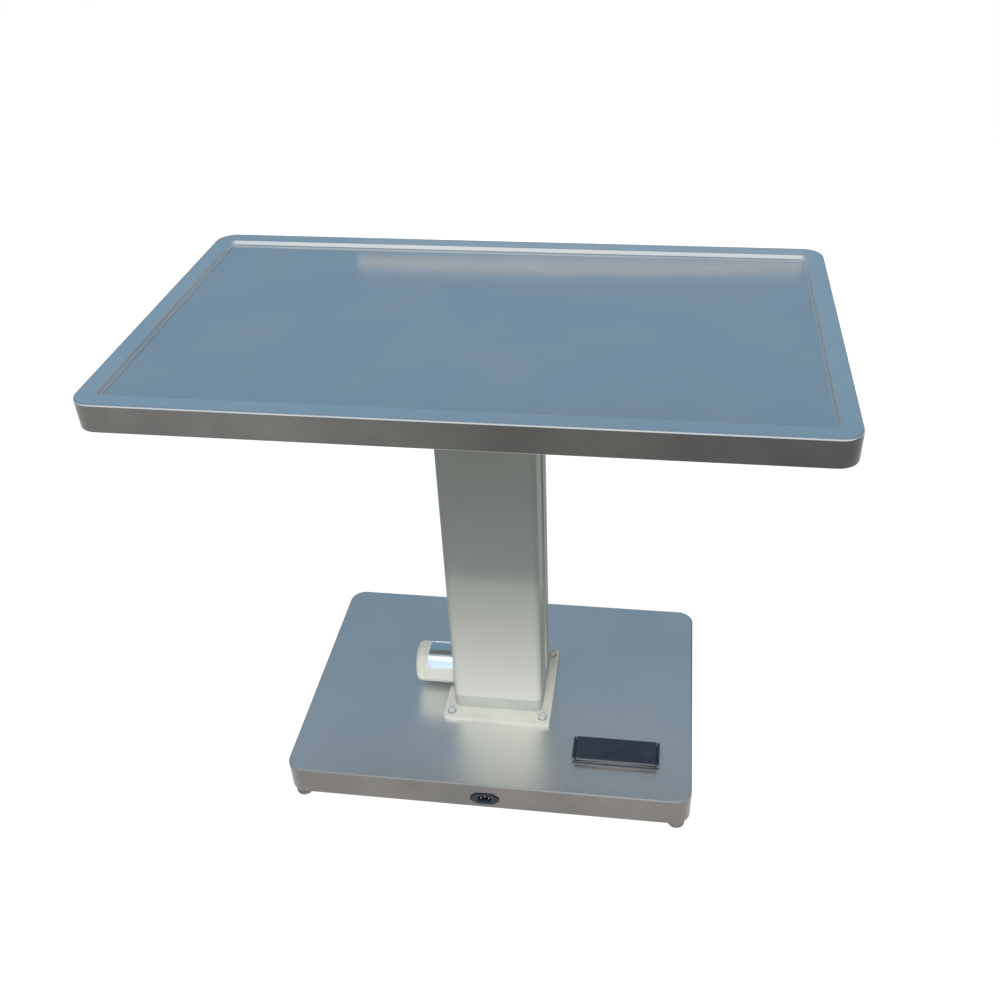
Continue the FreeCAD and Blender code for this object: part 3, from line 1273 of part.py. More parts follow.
def base_channels():
    """Two channels across the pan, open downwards."""
    half_y = BASE_WIDTH / 2 - BASE_SHEET - CHANNEL_END_GAP
    bottom = BASE_CEILING - CHANNEL_H
    channels = []
    for side in (-1, 1):
        x = side * CHANNEL_SPREAD / 2
        outer = box(x - CHANNEL_W / 2, x + CHANNEL_W / 2, -half_y, half_y, bottom, BASE_CEILING)
        inner = box(x - CHANNEL_W / 2 + CHANNEL_T, x + CHANNEL_W / 2 - CHANNEL_T, -half_y, half_y,
                    bottom, BASE_CEILING - CHANNEL_T)
        channels.append(outer.cut(inner))
    return channels


def corner_brackets():
    """Welded brackets that carry the feet: a level tab and an upright back."""
    inner_x = BASE_LENGTH / 2 - BASE_SHEET
    inner_y = BASE_WIDTH / 2 - BASE_SHEET
    brackets = []
    for sx, sy in ((1, 1), (-1, 1), (-1, -1), (1, -1)):
        x_pair = sorted((sx * (inner_x - BRACKET_X), sx * inner_x))
        y_pair = sorted((sy * (inner_y - BRACKET_Y), sy * inner_y))
        tab = box(x_pair[0], x_pair[1], y_pair[0], y_pair[1], BRACKET_BOTTOM, BRACKET_BOTTOM + BRACKET_T)
        back_pair = sorted((sx * (inner_x - BRACKET_X), sx * (inner_x - BRACKET_X + BRACKET_T)))
        back = box(back_pair[0], back_pair[1], y_pair[0], y_pair[1], BRACKET_BOTTOM, BASE_CEILING)
        bracket = fuse_all([tab, back])
        corner_r = BASE_CORNER_R - BASE_SHEET
        room = slab(inner_x, inner_y, corner_r, BRACKET_BOTTOM, BASE_CEILING)
        room = soften_top(room, BASE_CEILING, BASE_EDGE_R - BASE_SHEET)
        bracket = bracket.common(room)
        hole = clear_hole(Vector(sx * FOOT_X, sy * FOOT_Y, BRACKET_BOTTOM), UP, STUD_D, BRACKET_T)
        brackets.append(bracket.cut(hole))
    return brackets


def feet():
    """Four domed feet, screwed on their studs."""
    solids = []
    for x, y in four_corners(FOOT_X, FOOT_Y):
        pad = rod(Vector(x, y, 0), UP, FOOT_R, FOOT_HEIGHT)
        rim = [e for e in pad.Edges if e.BoundBox.ZMax < 1e-6]
        pad = pad.makeFillet(FOOT_CHAMFER, rim)
        hole_start = FOOT_HEIGHT - STUD_ENGAGE
        pad = pad.cut(tapped_hole(Vector(x, y, hole_start), UP, STUD_D, STUD_ENGAGE))
        solids.append(pad)
    return solids


def foot_studs():
    """Threaded studs of the feet."""
    return [rod(Vector(x, y, FOOT_HEIGHT - STUD_ENGAGE), UP, STUD_D / 2, STUD_LENGTH)
            for x, y in four_corners(FOOT_X, FOOT_Y)]


def foot_nuts():
    """A nut under and a nut over each bracket tab."""
    nuts = []
    for x, y in four_corners(FOOT_X, FOOT_Y):
        nuts.append(hex_nut(Vector(x, y, BRACKET_BOTTOM), DOWN, STUD_D))
        nuts.append(hex_nut(Vector(x, y, BRACKET_BOTTOM + BRACKET_T), UP, STUD_D))
    return nuts


# ---------------------------------------------------------------- control box
def box_screw_places():
    """The lid's corner screws."""
    inset = BOX_WALL / 2 + BOX_BOSS_R
    return [(BOX_CENTRE_X + x, y) for x, y in four_corners(BOX_LENGTH / 2 - inset, BOX_WIDTH / 2 - inset)]


def control_box_case():
    """Plastic case bonded under the pan, open downwards."""
    half_x = BOX_LENGTH / 2
    half_y = BOX_WIDTH / 2
    case = slab(half_x, half_y, BOX_R, BOX_BOTTOM, BASE_CEILING, BOX_CENTRE_X)
    room = slab(half_x - BOX_WALL, half_y - BOX_WALL, BOX_R - BOX_WALL, BOX_BOTTOM,
                BASE_CEILING - BOX_WALL, BOX_CENTRE_X)
    case = case.cut(room)
    for x, y in box_screw_places():
        case = case.fuse(rod(Vector(x, y, BOX_BOTTOM), UP, BOX_BOSS_R, BOX_HEIGHT))
    case = case.removeSplitter()
    for x, y in box_screw_places():
        case = case.cut(tapped_hole(Vector(x, y, BOX_BOTTOM), UP, BOX_SCREW_D, 4 * BOX_SCREW_D))
    for points in (mains_lead_points(), motor_lead_points(), pedal_lead_points()):
        end = points[-1]
        case = case.cut(rod(Vector(end.x - BOX_WALL, end.y, end.z), RIGHT, LEAD_R + HOLE_GAP, 3 * BOX_WALL))
    return [case]


def control_box_lid():
    """Lid under the case."""
    lid = slab(BOX_LENGTH / 2, BOX_WIDTH / 2, BOX_R, BOX_BOTTOM - BOX_LID_T, BOX_BOTTOM, BOX_CENTRE_X)
    for x, y in box_screw_places():
        lid = lid.cut(clear_hole(Vector(x, y, BOX_BOTTOM - BOX_LID_T), UP, BOX_SCREW_D, BOX_LID_T))
    return [lid]


def control_box_screws():
    """Cap screws that hold the lid."""
    seat = BOX_BOTTOM - BOX_LID_T
    return [cap_screw(Vector(x, y, seat), UP, BOX_SCREW_D, BOX_LID_T + 3 * BOX_SCREW_D)
            for x, y in box_screw_places()]


def circuit_card():
    """Circuit card across the case, on the case's bosses' level."""
    half_x = BOX_LENGTH / 2 - CARD_MARGIN - BOX_WALL
    half_y = BOX_WIDTH / 2 - CARD_MARGIN - BOX_WALL
    top = BASE_CEILING - BOX_WALL
    z1 = top - CARD_DEPTH
    card = slab(half_x, half_y, BOX_R / 2, z1 - CARD_T, z1, BOX_CENTRE_X)
    posts = []
    for x, y in four_corners(half_x - BOX_BOSS_R, half_y - BOX_BOSS_R):
        posts.append(rod(Vector(BOX_CENTRE_X + x, y, z1), UP, BOX_BOSS_R / 2, CARD_DEPTH))
    return [fuse_all([card] + posts)]


def transformer():
    """Core and bobbin under the card."""
    card_under = BASE_CEILING - BOX_WALL - CARD_DEPTH - CARD_T
    centre = BOX_CENTRE_X - BOX_LENGTH / 5
    core = box(centre - CORE_X / 2, centre + CORE_X / 2, -CORE_Y / 2, CORE_Y / 2,
               card_under - CORE_T, card_under)
    coil = box(centre - BOBBIN_X / 2, centre + BOBBIN_X / 2, -BOBBIN_Y / 2, BOBBIN_Y / 2,
               card_under - (CORE_T + BOBBIN_T) / 2, card_under - (CORE_T - BOBBIN_T) / 2)
    return [fuse_all([core, coil])]


# ---------------------------------------------------------------- mains inlet
def inlet_outline(half_x, half_z, y):
    """The flange's outline: a block with two round ears."""
    block = box(-half_x, half_x, y, y + INLET_FLANGE_T, INLET_HEIGHT - half_z, INLET_HEIGHT + half_z)
    pieces = [block]
    ear_x = INLET_SCREW_SPREAD / 2
    for side in (-1, 1):
        ear = rod(Vector(side * ear_x, y, INLET_HEIGHT), BACK, INLET_EAR_R, INLET_FLANGE_T)
        web = prism([
            Vector(side * half_x, y, INLET_HEIGHT - half_z),
            Vector(side * (ear_x + INLET_WEB_REACH), y, INLET_HEIGHT - INLET_WEB_RISE),
            Vector(side * (ear_x + INLET_WEB_REACH), y, INLET_HEIGHT + INLET_WEB_RISE),
            Vector(side * half_x, y, INLET_HEIGHT + half_z),
        ], BACK, INLET_FLANGE_T)
        pieces += [web, ear]
    return fuse_all(pieces)


def inlet_body():
    """Inlet moulding: eared flange, body behind the skirt, hollow to the front."""
    front = FRONT_FACE - INLET_FLANGE_T
    flange = inlet_outline(INLET_FLANGE_X / 2, INLET_FLANGE_Z / 2, front)
    body = box(-INLET_BODY_X / 2, INLET_BODY_X / 2, FRONT_FACE, FRONT_FACE + INLET_DEPTH,
               INLET_HEIGHT - INLET_BODY_Z / 2, INLET_HEIGHT + INLET_BODY_Z / 2)
    shape = fuse_all([flange, body])
    hx = INLET_CAVITY_X / 2
    hz = INLET_CAVITY_Z / 2
    chamfer = INLET_CAVITY_CHAMFER
    cavity = prism([
        Vector(-hx, front, INLET_HEIGHT - hz),
        Vector(hx, front, INLET_HEIGHT - hz),
        Vector(hx, front, INLET_HEIGHT + hz - chamfer),
        Vector(hx - chamfer, front, INLET_HEIGHT + hz),
        Vector(-hx + chamfer, front, INLET_HEIGHT + hz),
        Vector(-hx, front, INLET_HEIGHT + hz - chamfer),
    ], BACK, INLET_CAVITY_DEPTH)
    tools = [cavity]
    for x, z in blade_places():
        tools.append(box(x - BLADE_W / 2, x + BLADE_W / 2, front, FRONT_FACE + INLET_DEPTH,
                         z - BLADE_H / 2, z + BLADE_H / 2))
    for x in (-INLET_SCREW_SPREAD / 2, INLET_SCREW_SPREAD / 2):
        tools.append(flat_screw_hole(Vector(x, front, INLET_HEIGHT), BACK, INLET_SCREW_D, INLET_FLANGE_T))
    return [cut_all(shape, tools)]


def blade_places():
    """The three contacts: two in line and the earth contact above between them."""
    low = INLET_HEIGHT - BLADE_EARTH_RISE / 2
    high = INLET_HEIGHT + BLADE_EARTH_RISE / 2
    return [(-BLADE_SPREAD / 2, low), (BLADE_SPREAD / 2, low), (0.0, high)]


def inlet_contacts():
    """Flat contact blades, from inside the hollow out to their tails."""
    floor = FRONT_FACE - INLET_FLANGE_T + INLET_CAVITY_DEPTH
    back = FRONT_FACE + INLET_DEPTH + BLADE_TAIL
    return [box(x - BLADE_W / 2, x + BLADE_W / 2, floor - BLADE_LENGTH, back,
                z - BLADE_H / 2, z + BLADE_H / 2) for x, z in blade_places()]


def inlet_screws():
    """Countersunk screws through the ears."""
    front = FRONT_FACE - INLET_FLANGE_T
    return [flat_screw(Vector(x, front, INLET_HEIGHT), BACK, INLET_SCREW_D, 3 * INLET_SCREW_D)
            for x in (-INLET_SCREW_SPREAD / 2, INLET_SCREW_SPREAD / 2)]


# ---------------------------------------------------------------- foot switch
def switch_tub_half():
    """Half length and half width of the tub below the pan's top sheet."""
    return SWITCH_LENGTH / 2 - SWITCH_TUB_MARGIN, SWITCH_WIDTH / 2 - SWITCH_TUB_MARGIN


def switch_housing():
    """Black housing: tub through the pan, flange on it, cheeks at both ends, roof-shaped side walls."""
    hx = SWITCH_LENGTH / 2
    hy = SWITCH_WIDTH / 2
    tub_x, tub_y = switch_tub_half()
    flange = slab(hx, hy, SWITCH_CORNER_R, BASE_TOP, SWITCH_FLANGE_TOP, SWITCH_X, SWITCH_Y)
    tub = box(SWITCH_X - tub_x, SWITCH_X + tub_x, SWITCH_Y - tub_y, SWITCH_Y + tub_y,
              SWITCH_FLOOR, BASE_TOP)
    pieces = [flange, tub]
    for side in (-1, 1):
        pair = sorted((SWITCH_X + side * (hx - CHEEK_T), SWITCH_X + side * hx))
        pieces.append(box(pair[0], pair[1], SWITCH_Y - hy + SWITCH_STEP, SWITCH_Y + hy - SWITCH_STEP,
                          BASE_TOP, BASE_TOP + CHEEK_H))
    peak = PEDAL_UNDERSIDE - SLIDE_GAP
    reach = hx - CHEEK_T
    fall = reach * math.tan(math.radians(PEDAL_TILT))
    for side in (-1, 1):
        y0 = SWITCH_Y + side * (hy - SWITCH_STEP) - (SWITCH_WALL if side > 0 else 0.0)
        pieces.append(prism([
            Vector(SWITCH_X - reach, y0, BASE_TOP),
            Vector(SWITCH_X + reach, y0, BASE_TOP),
            Vector(SWITCH_X + reach, y0, peak - fall),
            Vector(SWITCH_X, y0, peak),
            Vector(SWITCH_X - reach, y0, peak - fall),
        ], BACK, SWITCH_WALL))
    shape = fuse_all(pieces)
    room = box(SWITCH_X - tub_x + SWITCH_WALL, SWITCH_X + tub_x - SWITCH_WALL,
               SWITCH_Y - tub_y + SWITCH_WALL, SWITCH_Y + tub_y - SWITCH_WALL,
               SWITCH_FLOOR + SWITCH_WALL, SWITCH_FLANGE_TOP)
    pin_hole = rod(Vector(SWITCH_X, SWITCH_Y - tub_y, PIN_Z), BACK, PIN_R + SEAT_GAP, 2 * tub_y)
    lead_end = pedal_lead_points()[0]
    lead_hole = rod(Vector(lead_end.x, SWITCH_Y, lead_end.z), BACK, LEAD_R + HOLE_GAP, SWITCH_WIDTH)
    return [cut_all(shape, [room, pin_hole, lead_hole])]


def pedal_pin():
    """Pivot pin across the tub."""
    tub_y = switch_tub_half()[1]
    return [rod(Vector(SWITCH_X, SWITCH_Y - tub_y, PIN_Z), BACK, PIN_R, 2 * tub_y)]


def rocker_pedal():
    """See-saw pedal with cross ribs, and a hub on the pivot pin."""
    hx = SWITCH_LENGTH / 2 - CHEEK_T - PEDAL_SIDE_GAP
    hy = SWITCH_WIDTH / 2
    top = BASE_TOP + PEDAL_TOP
    plate = slab(hx, hy, SWITCH_CORNER_R, PEDAL_UNDERSIDE, top, SWITCH_X, SWITCH_Y)
    plate = soften_top(plate, top, PEDAL_EDGE_R)
    hub = box(SWITCH_X - PEDAL_HUB_X / 2, SWITCH_X + PEDAL_HUB_X / 2, SWITCH_Y - PEDAL_HUB_Y / 2,
              SWITCH_Y + PEDAL_HUB_Y / 2, PIN_Z - PEDAL_HUB_MARGIN, PEDAL_UNDERSIDE)
    body = fuse_all([plate, hub])
    return [body.cut(rod(Vector(SWITCH_X, SWITCH_Y - hy, PIN_Z), BACK, PIN_R + RUN_GAP, SWITCH_WIDTH))]


def pedal_springs():
    """Two coil springs between the tub's floor and the pedal."""
    floor = SWITCH_FLOOR + SWITCH_WALL
    height = PEDAL_UNDERSIDE - floor
    springs = []
    for side in (-1, 1):
        helix = Part.makeHelix(SPRING_PITCH, height - 2 * SPRING_WIRE_R, SPRING_R)
        circle = Part.makeCircle(SPRING_WIRE_R, Vector(SPRING_R, 0, 0), BACK)
        coil = Part.Wire(helix.Edges).makePipeShell([Part.Wire([circle])], True, True)
        coil.translate(Vector(SWITCH_X + side * SPRING_SPREAD / 2, SWITCH_Y, floor + SPRING_WIRE_R))
        springs.append(coil)
    return springs


def microswitches():
    """Two switches on the tub's floor; each plunger is met at the end of the pedal's travel."""
    floor = SWITCH_FLOOR + SWITCH_WALL
    drop = MICROSWITCH_SPREAD / 2 * math.tan(math.radians(PEDAL_TILT))
    plunger_top = PEDAL_UNDERSIDE - drop - 2 * SLIDE_GAP
    solids = []
    for side in (-1, 1):
        x = SWITCH_X + side * MICROSWITCH_SPREAD / 2
        body = box(x - MICROSWITCH_X / 2, x + MICROSWITCH_X / 2, SWITCH_Y - MICROSWITCH_Y / 2,
                   SWITCH_Y + MICROSWITCH_Y / 2, floor, plunger_top - PLUNGER_LENGTH)
        plunger = rod(Vector(x, SWITCH_Y, plunger_top - PLUNGER_LENGTH), UP, PLUNGER_R, PLUNGER_LENGTH)
        solids.append(fuse_all([body, plunger]))
    return solids


# ---------------------------------------------------------------- leads
def box_entry(y, z):
    """The last two points of a lead, square to the control box's right wall."""
    x = BOX_CENTRE_X + BOX_LENGTH / 2 - BOX_WALL
    return [Vector(x + 32, y, z), Vector(x, y, z)]


def mains_lead_points():
    """From the inlet's contact tails to the control box."""
    start = FRONT_FACE + INLET_DEPTH + BLADE_TAIL
    return [
        Vector(0, start, INLET_HEIGHT),
        Vector(0, start + 30, INLET_HEIGHT),
        Vector(-20, start + 66, INLET_HEIGHT - 3),
        Vector(-56, start + 102, INLET_HEIGHT - 6),
        Vector(-94, start + 138, INLET_HEIGHT - 5),
    ] + box_entry(start + 166, BOX_BOTTOM + 9)


def motor_lead_points():
    """From the motor's flange down through the column's foot to the control box."""
    return [
        Vector(-COLUMN_FACE - MOTOR_FLANGE_T, LEAD_Y, MOTOR_Z),
        Vector(LEAD_X - 14, LEAD_Y, MOTOR_Z - 1),
        Vector(LEAD_X, LEAD_Y, MOTOR_Z - 22),
        Vector(LEAD_X + 1, LEAD_Y - 1, BASE_TOP),
        Vector(LEAD_X - 4, LEAD_Y + 1, BASE_TOP - 26),
        Vector(LEAD_X - 34, LEAD_Y + 8, BASE_TOP - 38),
        Vector(LEAD_X - 66, LEAD_Y + 18, BASE_TOP - 35),
    ] + box_entry(LEAD_Y + 24, BOX_BOTTOM + 10)


def pedal_lead_points():
    """From the foot switch's tub to the control box."""
    tub_back = SWITCH_Y + switch_tub_half()[1] - SWITCH_WALL
    return [
        Vector(SWITCH_X - 30, tub_back, SWITCH_FLOOR + 9),
        Vector(SWITCH_X - 30, tub_back + 30, SWITCH_FLOOR + 9),
        Vector(SWITCH_X - 46, tub_back + 64, SWITCH_FLOOR - 4),
        Vector(SWITCH_X - 84, tub_back + 102, SWITCH_FLOOR - 16),
        Vector(SWITCH_X - 134, tub_back + 136, SWITCH_FLOOR - 19),
        Vector(SWITCH_X - 192, tub_back + 158, SWITCH_FLOOR - 20),
        Vector(SWITCH_X - 252, tub_back + 166, SWITCH_FLOOR - 18),
        Vector(SWITCH_X - 306, tub_back + 162, SWITCH_FLOOR - 15),
    ] + box_entry(tub_back + 152, BOX_BOTTOM + 10)


def lead(points):
    """A round lead: straight runs joined by tangent arcs."""
    edges = []
    here = points[0]
    for before, corner, after in zip(points, points[1:], points[2:]):
        run_in = corner - before
        run_out = after - corner
        turn = run_in.getAngle(run_out)
        setback = 0.45 * min(run_in.Length, run_out.Length)
        into = Vector(run_in).normalize()
        away = Vector(run_out).normalize()
        first = corner - into * setback
        last = corner + away * setback
        radius = setback / math.tan(turn / 2)
        inward = (away - into).normalize()
        middle = corner + inward * (radius / math.cos(turn / 2) - radius)
        edges.append(Part.makeLine(here, first))
        edges.append(Part.Arc(first, middle, last).toShape())
        print("lead turn radius", round(radius, 1))
        here = last
    edges.append(Part.makeLine(here, points[-1]))
    path = Part.Wire(edges)
    section = Part.Wire([Part.makeCircle(LEAD_R, points[0], points[1] - points[0])])
    return path.makePipeShell([section], True, True)


def mains_lead():
    return [lead(mains_lead_points())]


def motor_lead():
    return [lead(motor_lead_points())]


def pedal_lead():
    return [lead(pedal_lead_points())]


# ---------------------------------------------------------------- all nodes
def nodes():
    """Every node's name and its solids."""
    spindle_bearings = ("lower", "upper")
    worm_bearings = ("worm", "neck", "tail")
    return {
        "top_tray": top_tray(),
        "top_core_board": top_core_board(),
        "board_screws": board_screws(),
        "subframe_rails": subframe_rails(),
        "subframe_crossbars": subframe_crossbars(),
        "head_plate": head_plate(),
        "head_plate_bolts": head_plate_bolts(),
        "outer_column_tube": outer_column_tube(),
        "column_foot": column_foot(),
        "column_screws": column_foot_screws() + column_tube_screws(),
        "column_top_ring": column_top_ring(),
        "inner_column_tube": inner_column_tube(),
        "upper_glide_pads": upper_glide_pads(),
        "lower_glide_pads": lower_glide_pads(),
        "mount_plate": mount_plate(),
        "mount_plate_bolts": mount_plate_bolts(),
        "mount_plate_washers_and_nuts": mount_plate_washers() + mount_plate_nuts(),
        "gearbox_housing": gearbox_housing(),
        "gearbox_cover": gearbox_cover(),
        "gearbox_screws": gearbox_screws(),
        "worm_shaft": worm_shaft(),
        "worm_wheel": worm_wheel(),
        "spindle": spindle(),
        "spindle_stop_disc": spindle_stop_disc(),
        "spindle_bearing_inner_rings": bearing_inner_rings(spindle_bearings),
        "spindle_bearing_outer_rings": bearing_outer_rings(spindle_bearings),
        "worm_bearing_inner_rings": bearing_inner_rings(worm_bearings),
        "worm_bearing_outer_rings": bearing_outer_rings(worm_bearings),
        "spindle_nut": spindle_nut(),
        "nut_carrier": nut_carrier(),
        "nut_screws": nut_screws(),
        "motor_flange": motor_flange(),
        "motor_can": motor_can(),
        "motor_rear_shield": motor_rear_shield(),
        "motor_magnets": motor_magnets(),
        "motor_rotor": motor_rotor(),
        "motor_brush_holder": motor_brush_holder(),
        "motor_cover": motor_cover(),
        "motor_end_cap": motor_end_cap(),
        "motor_screws": motor_flange_screws() + end_cap_screws(),
        "base_pan": base_pan(),
        "reinforcement_plate": reinforcement_plate(),
        "base_channels": base_channels(),
        "corner_brackets": corner_brackets(),
        "feet": feet(),
        "foot_studs_and_nuts": foot_studs() + foot_nuts(),
        "control_box_case": control_box_case(),
        "control_box_lid": control_box_lid() + control_box_screws(),
        "circuit_card": circuit_card() + transformer(),
        "mains_lead": mains_lead(),
        "motor_lead": motor_lead(),
        "pedal_lead": pedal_lead(),
        "inlet_body": inlet_body(),
        "inlet_contacts": inlet_contacts(),
        "inlet_screws": inlet_screws(),
        "switch_housing": switch_housing(),
        "rocker_pedal": rocker_pedal(),
        "pedal_pin": pedal_pin(),
        "pedal_springs": pedal_springs(),
        "microswitches": microswitches(),
    }


def main():
    os.makedirs("parts", exist_ok=True)
    for name, solids in nodes().items():
        shape = solids[0] if len(solids) == 1 else Part.makeCompound(solids)
        shape.exportStep("parts/" + name + ".step")
        print(name, len(shape.Solids), "valid" if shape.isValid() else "INVALID", round(shape.Volume))


main()
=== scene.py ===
"""Veterinary exam table: an electric lifting column between a stainless tray top and a stainless base."""

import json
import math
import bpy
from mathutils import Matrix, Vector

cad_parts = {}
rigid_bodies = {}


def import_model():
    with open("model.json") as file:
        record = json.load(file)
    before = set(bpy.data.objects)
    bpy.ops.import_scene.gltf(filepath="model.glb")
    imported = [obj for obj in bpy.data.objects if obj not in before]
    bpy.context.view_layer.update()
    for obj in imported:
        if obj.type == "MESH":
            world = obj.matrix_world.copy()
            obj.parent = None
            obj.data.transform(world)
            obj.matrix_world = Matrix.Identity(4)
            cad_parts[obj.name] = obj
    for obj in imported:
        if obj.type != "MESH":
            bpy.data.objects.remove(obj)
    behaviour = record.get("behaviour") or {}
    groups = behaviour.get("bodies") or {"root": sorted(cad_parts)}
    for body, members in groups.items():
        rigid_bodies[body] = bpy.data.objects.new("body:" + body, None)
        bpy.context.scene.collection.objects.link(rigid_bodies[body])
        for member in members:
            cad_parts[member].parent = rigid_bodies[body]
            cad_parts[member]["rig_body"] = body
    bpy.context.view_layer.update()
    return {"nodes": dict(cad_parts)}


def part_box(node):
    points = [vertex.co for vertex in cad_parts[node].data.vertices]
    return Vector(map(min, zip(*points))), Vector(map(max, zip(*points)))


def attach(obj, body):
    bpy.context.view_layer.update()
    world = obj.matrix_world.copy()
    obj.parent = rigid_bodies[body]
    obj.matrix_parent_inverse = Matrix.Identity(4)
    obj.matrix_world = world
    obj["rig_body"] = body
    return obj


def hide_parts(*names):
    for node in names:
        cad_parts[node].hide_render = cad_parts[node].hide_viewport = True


bl_info = {
    "name": "Veterinary Exam Table",
    "version": (1, 0, 0),
    "blender": (4, 5, 0),
    "location": "View3D > Sidebar > Exam Table",
    "description": "Builds a lifting exam table with its finishes, floor and lights",
    "category": "Add Mesh",
}

import bmesh
import bpy
from mathutils import Matrix, Vector

for leftover in list(bpy.data.objects):
    bpy.data.objects.remove(leftover)

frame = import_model()
MM = 0.001

# places in millimetres that more than one group of pieces needs: the mount bolts, on both sides of the
# middle, and the mains inlet's height
BOLT_X, BOLT_Y = 85, 84
INLET_Z = 38

# the angle in degrees past which an edge is sharp
SHARP = 35
# faces whose normal rises less than UPRIGHT are a sheet's sides, and from LEVEL on they lie flat
UPRIGHT = 0.3
LEVEL = 0.985


# ---------------------------------------------------------------- colour and nodes
def linear(text):
    """A colour written as sRGB hex, as linear red, green, blue and alpha."""
    values = [int(text[i:i + 2], 16) / 255 for i in (1, 3, 5)]
    curve = [v / 12.92 if v <= 0.04045 else ((v + 0.055) / 1.055) ** 2.4 for v in values]
    return (*curve, 1.0)


def add(tree, kind, inputs=None, **settings):
    """Add one node: its settings, then its inputs. An input is a value, a node's output, or a node, which
    stands for its first output."""
    node = tree.nodes.new(kind)
    for key, value in settings.items():
        setattr(node, key, value)
    for key, value in (inputs or {}).items():
        if isinstance(value, bpy.types.Node):
            value = value.outputs[0]
        if isinstance(value, bpy.types.NodeSocket):
            tree.links.new(value, node.inputs[key])
        else:
            node.inputs[key].default_value = value
    return node


def new_material(name):
    """An empty material and its tree."""
    material = bpy.data.materials.new(name)
    material.use_nodes = True
    material.node_tree.nodes.clear()
    return material, material.node_tree


# the values of a noise between which its pattern runs, as a Map Range node takes them
CLOUDS = {1: 0.35, 2: 0.65}
GRAIN = {1: 0.3, 2: 0.7}


def patterned(name, dark, light, blotch, grain, rough, stretch=(1, 1, 1), relief=0.03, metallic=0.0,
              coat=0.0, coat_rough=0.1, edge=0.0, specular=0.5):
    """A finish with two tones in soft blotches, and a fine grain in its gloss and relief.
    blotch and grain are in millimetres, and so is relief, the grain's depth. edge is how far the grain
    shifts the tones."""
    material, tree = new_material(name)
    place = add(tree, "ShaderNodeTexCoord").outputs["Object"]
    stretched = add(tree, "ShaderNodeMapping", {"Vector": place, "Scale": stretch})
    soft = add(tree, "ShaderNodeTexNoise", {"Vector": place, "Scale": 1 / (blotch * MM), "Detail": 3.0,
                                            "Roughness": 0.55})
    fine = add(tree, "ShaderNodeTexNoise", {"Vector": stretched, "Scale": 1 / (grain * MM), "Detail": 4.0,
                                            "Roughness": 0.6})
    spread = add(tree, "ShaderNodeMapRange", {0: soft, **CLOUDS})
    speck = add(tree, "ShaderNodeMapRange", {0: fine, **GRAIN, 3: -edge, 4: edge})
    share = add(tree, "ShaderNodeMath", {0: spread, 1: speck}, operation="ADD", use_clamp=True)
    tone = add(tree, "ShaderNodeMix", {0: share, 6: linear(dark), 7: linear(light)}, data_type="RGBA")
    gloss = add(tree, "ShaderNodeMapRange", {0: fine, **GRAIN, 3: rough[0], 4: rough[1]})
    bump = add(tree, "ShaderNodeBump", {"Strength": 1.0, "Distance": relief * MM, "Height": fine})
    shader = add(tree, "ShaderNodeBsdfPrincipled", {
        "Base Color": tone.outputs[2], "Metallic": metallic, "Roughness": gloss, "Normal": bump,
        "Coat Weight": coat, "Coat Roughness": coat_rough, "Specular IOR Level": specular})
    add(tree, "ShaderNodeOutputMaterial", {"Surface": shader})
    return material


# where a sheet's painted shade runs, from full tone to darker towards the right-hand end: from one place
# across the table to the other, in metres
SHADE_FROM = -0.27
SHADE_TO = 0.12


def stainless(name, tones, rough, wave_mm, wave_depth, brush_depth, shade_at_right=1.0):
    """Cold-rolled stainless sheet: a fine polish along X over the slight waves of thin sheet.
    tones are two sRGB hex values, or the name of a pair of colours in the looks. shade_at_right is what is
    left of the tone at the right-hand end: painted shade that darkens the sheet across the table, standing
    in for the darker room it mirrors there."""
    if isinstance(tones, str):
        looks = bpy.context.scene.exam_table_looks
        deep, pale = (tuple(getattr(looks, f"{tones}_{depth}")) for depth in ("deep", "pale"))
    else:
        deep, pale = (linear(tone) for tone in tones)
    material, tree = new_material(name)
    place = add(tree, "ShaderNodeTexCoord").outputs["Object"]
    lines = add(tree, "ShaderNodeMapping", {"Vector": place, "Scale": (0.02, 1.0, 1.0)})
    # polish lines are about 0.1 mm apart and drawn at 0.7 mm so that they can be seen at all
    polish = add(tree, "ShaderNodeTexNoise", {"Vector": lines, "Scale": 1 / (0.7 * MM), "Detail": 5.0,
                                              "Roughness": 0.7})
    cloud = add(tree, "ShaderNodeTexNoise", {"Vector": place, "Scale": 1 / (170 * MM), "Detail": 4.0,
                                             "Roughness": 0.5})
    wave_place = add(tree, "ShaderNodeMapping", {"Vector": place, "Scale": (0.45, 1.0, 1.0)})
    wave = add(tree, "ShaderNodeTexNoise", {"Vector": wave_place, "Scale": 1 / (wave_mm * MM),
                                            "Detail": 1.0, "Roughness": 0.4})
    spread = add(tree, "ShaderNodeMapRange", {0: cloud, **CLOUDS})
    tone = add(tree, "ShaderNodeMix", {0: spread, 6: deep, 7: pale}, data_type="RGBA")
    # painted shade: the colour darkens towards the right-hand end, standing in for the darker room the
    # sheet mirrors there
    across = add(tree, "ShaderNodeSeparateXYZ", {0: place})
    painted_shade = add(tree, "ShaderNodeMapRange", {0: across.outputs["X"], 1: SHADE_FROM, 2: SHADE_TO, 3: 1.0,
                                              4: shade_at_right}, interpolation_type="SMOOTHSTEP")
    colour = add(tree, "ShaderNodeVectorMath", {0: tone.outputs[2], 1: painted_shade}, operation="MULTIPLY")
    gloss = add(tree, "ShaderNodeMapRange", {0: polish, **GRAIN, 3: rough[0], 4: rough[1]})
    sway = add(tree, "ShaderNodeBump", {"Strength": 1.0, "Distance": wave_depth * MM, "Height": wave})
    brushed = add(tree, "ShaderNodeBump", {"Strength": 1.0, "Distance": brush_depth * MM, "Height": polish,
                                           "Normal": sway})
    shader = add(tree, "ShaderNodeBsdfPrincipled", {"Base Color": colour, "Metallic": 1.0,
                                                    "Roughness": gloss, "Normal": brushed})
    add(tree, "ShaderNodeOutputMaterial", {"Surface": shader})
    return material


